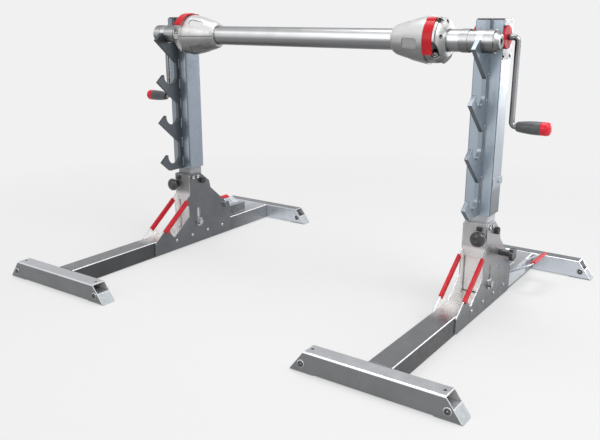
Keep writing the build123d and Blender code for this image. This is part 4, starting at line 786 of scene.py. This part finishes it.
# Seals in the bearing rings
SEAL = [
    (-0.4, 20.6), (0.15, 20.8), (0.35, 22.5), (0.2, 24.0), (0.2, 26.6), (0.05, 27.2), (-0.4, 27.3),
    (-0.4, 20.6),
]
RING_HALF = 10.0
bm = bmesh.new()
for sign in SIDES.values():
    for face in (-1, 1):
        turned(bm, (sign * STAND_X + face * RING_HALF, 0, AXLE_Z), (face, 0, 0), SEAL, 72)
to_object("bearing_seals", bm, "black_rubber", "axle_carrier")

# Crank grips: a softly swelling moulded handle and its red end cap
for side, sign in SIDES.items():
    grip_place = (sign * STAND_X, GRIP_Y, GRIP_Z)
    rings = [(GRIP_START, GRIP_BORE_R), (GRIP_START, 10.0), (87.6, 11.8), (89.0, 13.0), (91.0, 13.5)]
    for step in range(1, 25):
        share = step / 24
        swell = 13.6 + 4.9 * math.sin(math.pi / 2 * min(1.0, share * 1.15)) ** 0.8
        rings.append((91.0 + 62.0 * share, min(18.45, swell)))
    rings += [(154.4, 18.3), (GRIP_JOIN, 17.9), (GRIP_JOIN, GRIP_BORE_R), (GRIP_START, GRIP_BORE_R)]
    bm = bmesh.new()
    turned(bm, grip_place, (sign, 0, 0), rings, 64)
    grip = to_object("grip_handle_" + side, bm, "dark_grip", "grip_" + side)
    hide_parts("crank_grip_" + side)
    rings = [(GRIP_JOIN, 0), (GRIP_JOIN, GRIP_BORE_R), (GRIP_JOIN, 17.4)]
    rings += [(155.5, 18.2), (156.5, 18.5), (171.0, 18.5)]
    for step in range(1, 8):
        turn = math.pi / 2 * step / 7
        rings.append((171.0 + 8.8 * math.sin(turn), 18.5 - 8.0 * (1 - math.cos(turn))))
    rings += [(179.8, 8.0), (180.6, 7.6), (GRIP_END, 6.6), (GRIP_END, 0)]
    bm = bmesh.new()
    turned(bm, grip_place, (sign, 0, 0), rings, 64)
    cap = to_object("grip_end_" + side, bm, "red_plastic", "grip_" + side)
    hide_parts("grip_cap_" + side)


# Floor, lights and camera
BACKGROUND = 0.88
FLOOR_REACH = 60.0
FADE_START = 0.8
FADE_END = 2.4


def pale_floor(name):
    """A pale floor that keeps soft shadows near the object and fades into the plain backdrop."""
    tree, shader = new_material(name)
    shader.inputs["Roughness"].default_value = 0.9
    shader.inputs["Specular IOR Level"].default_value = 0.0
    grain = noise(tree, coords(tree), 40.0)
    speckled = blend_colors(tree, grain, (0.68, 0.68, 0.68), (0.70, 0.70, 0.70))
    tree.links.new(speckled, shader.inputs["Base Color"])
    glow = tree.nodes.new("ShaderNodeEmission")
    glow.inputs["Color"].default_value = (BACKGROUND, BACKGROUND, BACKGROUND, 1.0)
    length = tree.nodes.new("ShaderNodeVectorMath")
    length.operation = "LENGTH"
    tree.links.new(coords(tree), length.inputs[0])
    fade = remap(tree, length.outputs["Value"], FADE_START, FADE_END, 0.62, 1.0)
    mix = tree.nodes.new("ShaderNodeMixShader")
    tree.links.new(math_node(tree, "MULTIPLY", fade, seen_directly(tree)), mix.inputs["Fac"])
    tree.links.new(shader.outputs["BSDF"], mix.inputs[1])
    tree.links.new(glow.outputs["Emission"], mix.inputs[2])
    tree.links.new(mix.outputs["Shader"], tree.nodes["Material Output"].inputs["Surface"])


def seen_directly(tree):
    """1 for rays from the camera, and for those that metal or glass shows."""
    paths = tree.nodes.new("ShaderNodeLightPath")
    seen = math_node(tree, "MAXIMUM", paths.outputs["Is Camera Ray"], paths.outputs["Is Glossy Ray"])
    return math_node(tree, "MAXIMUM", seen, paths.outputs["Is Transmission Ray"])


def area_light(name, position, target, size, power, shape):
    light = bpy.data.lights.new(name, "AREA")
    light.shape = "RECTANGLE"
    light.size = size
    light.size_y = size * shape
    light.energy = power
    lamp = bpy.data.objects.new(name, light)
    bpy.context.scene.collection.objects.link(lamp)
    lamp.location = position
    lamp.rotation_euler = (Vector(target) - Vector(position)).to_track_quat("-Z", "Y").to_euler()
    lamp.visible_camera = False


pale_floor("floor_pale")
floor_corners = [(x * FLOOR_REACH, y * FLOOR_REACH, 0) for x, y in ((-1, -1), (1, -1), (1, 1), (-1, 1))]
floor_mesh = bpy.data.meshes.new("floor")
floor_mesh.from_pydata(floor_corners, [], [(0, 1, 2, 3)])
floor = bpy.data.objects.new("floor", floor_mesh)
bpy.context.scene.collection.objects.link(floor)
floor.data.materials.append(MATERIALS["floor_pale"])

world = bpy.data.worlds.new("studio")
bpy.context.scene.world = world
world.use_nodes = True
sky = world.node_tree.nodes["Background"]
sky.inputs["Color"].default_value = (1.0, 1.0, 1.0, 1.0)
strength = remap(world.node_tree, seen_directly(world.node_tree), 0, 1, 0.42, BACKGROUND)
world.node_tree.links.new(strength, sky.inputs["Strength"])

area_light("key", (2.6, -0.6, 3.2), (0.1, 0.0, 0.4), size=1.8, power=90.0, shape=1.0)
area_light("front", (-1.2, -4.0, 2.0), (0.3, 0.0, 0.5), size=2.0, power=28.0, shape=0.9)
area_light("top", (-0.4, 0.5, 4.2), (0.0, 0.0, 0.4), size=2.6, power=90.0, shape=0.8)
area_light("side", (2.7, 7.0, 1.1), (0.62, 0.08, 0.6), size=1.8, power=95.0, shape=1.3)

CAMERA_DOWN = 15.99
CAMERA_TURN = 35.01
camera_data = bpy.data.cameras.new("camera")
camera_data.sensor_fit = "HORIZONTAL"
camera_data.sensor_width = 36.0
camera_data.lens = 43.13
camera = bpy.data.objects.new("camera", camera_data)
camera.location = (1.3101, -1.8824, 0.8569)
camera.rotation_euler = (math.radians(90.0 - CAMERA_DOWN), 0.0, math.radians(CAMERA_TURN))
bpy.context.scene.collection.objects.link(camera)
bpy.context.scene.camera = camera
bpy.context.scene.view_settings.view_transform = "Standard"
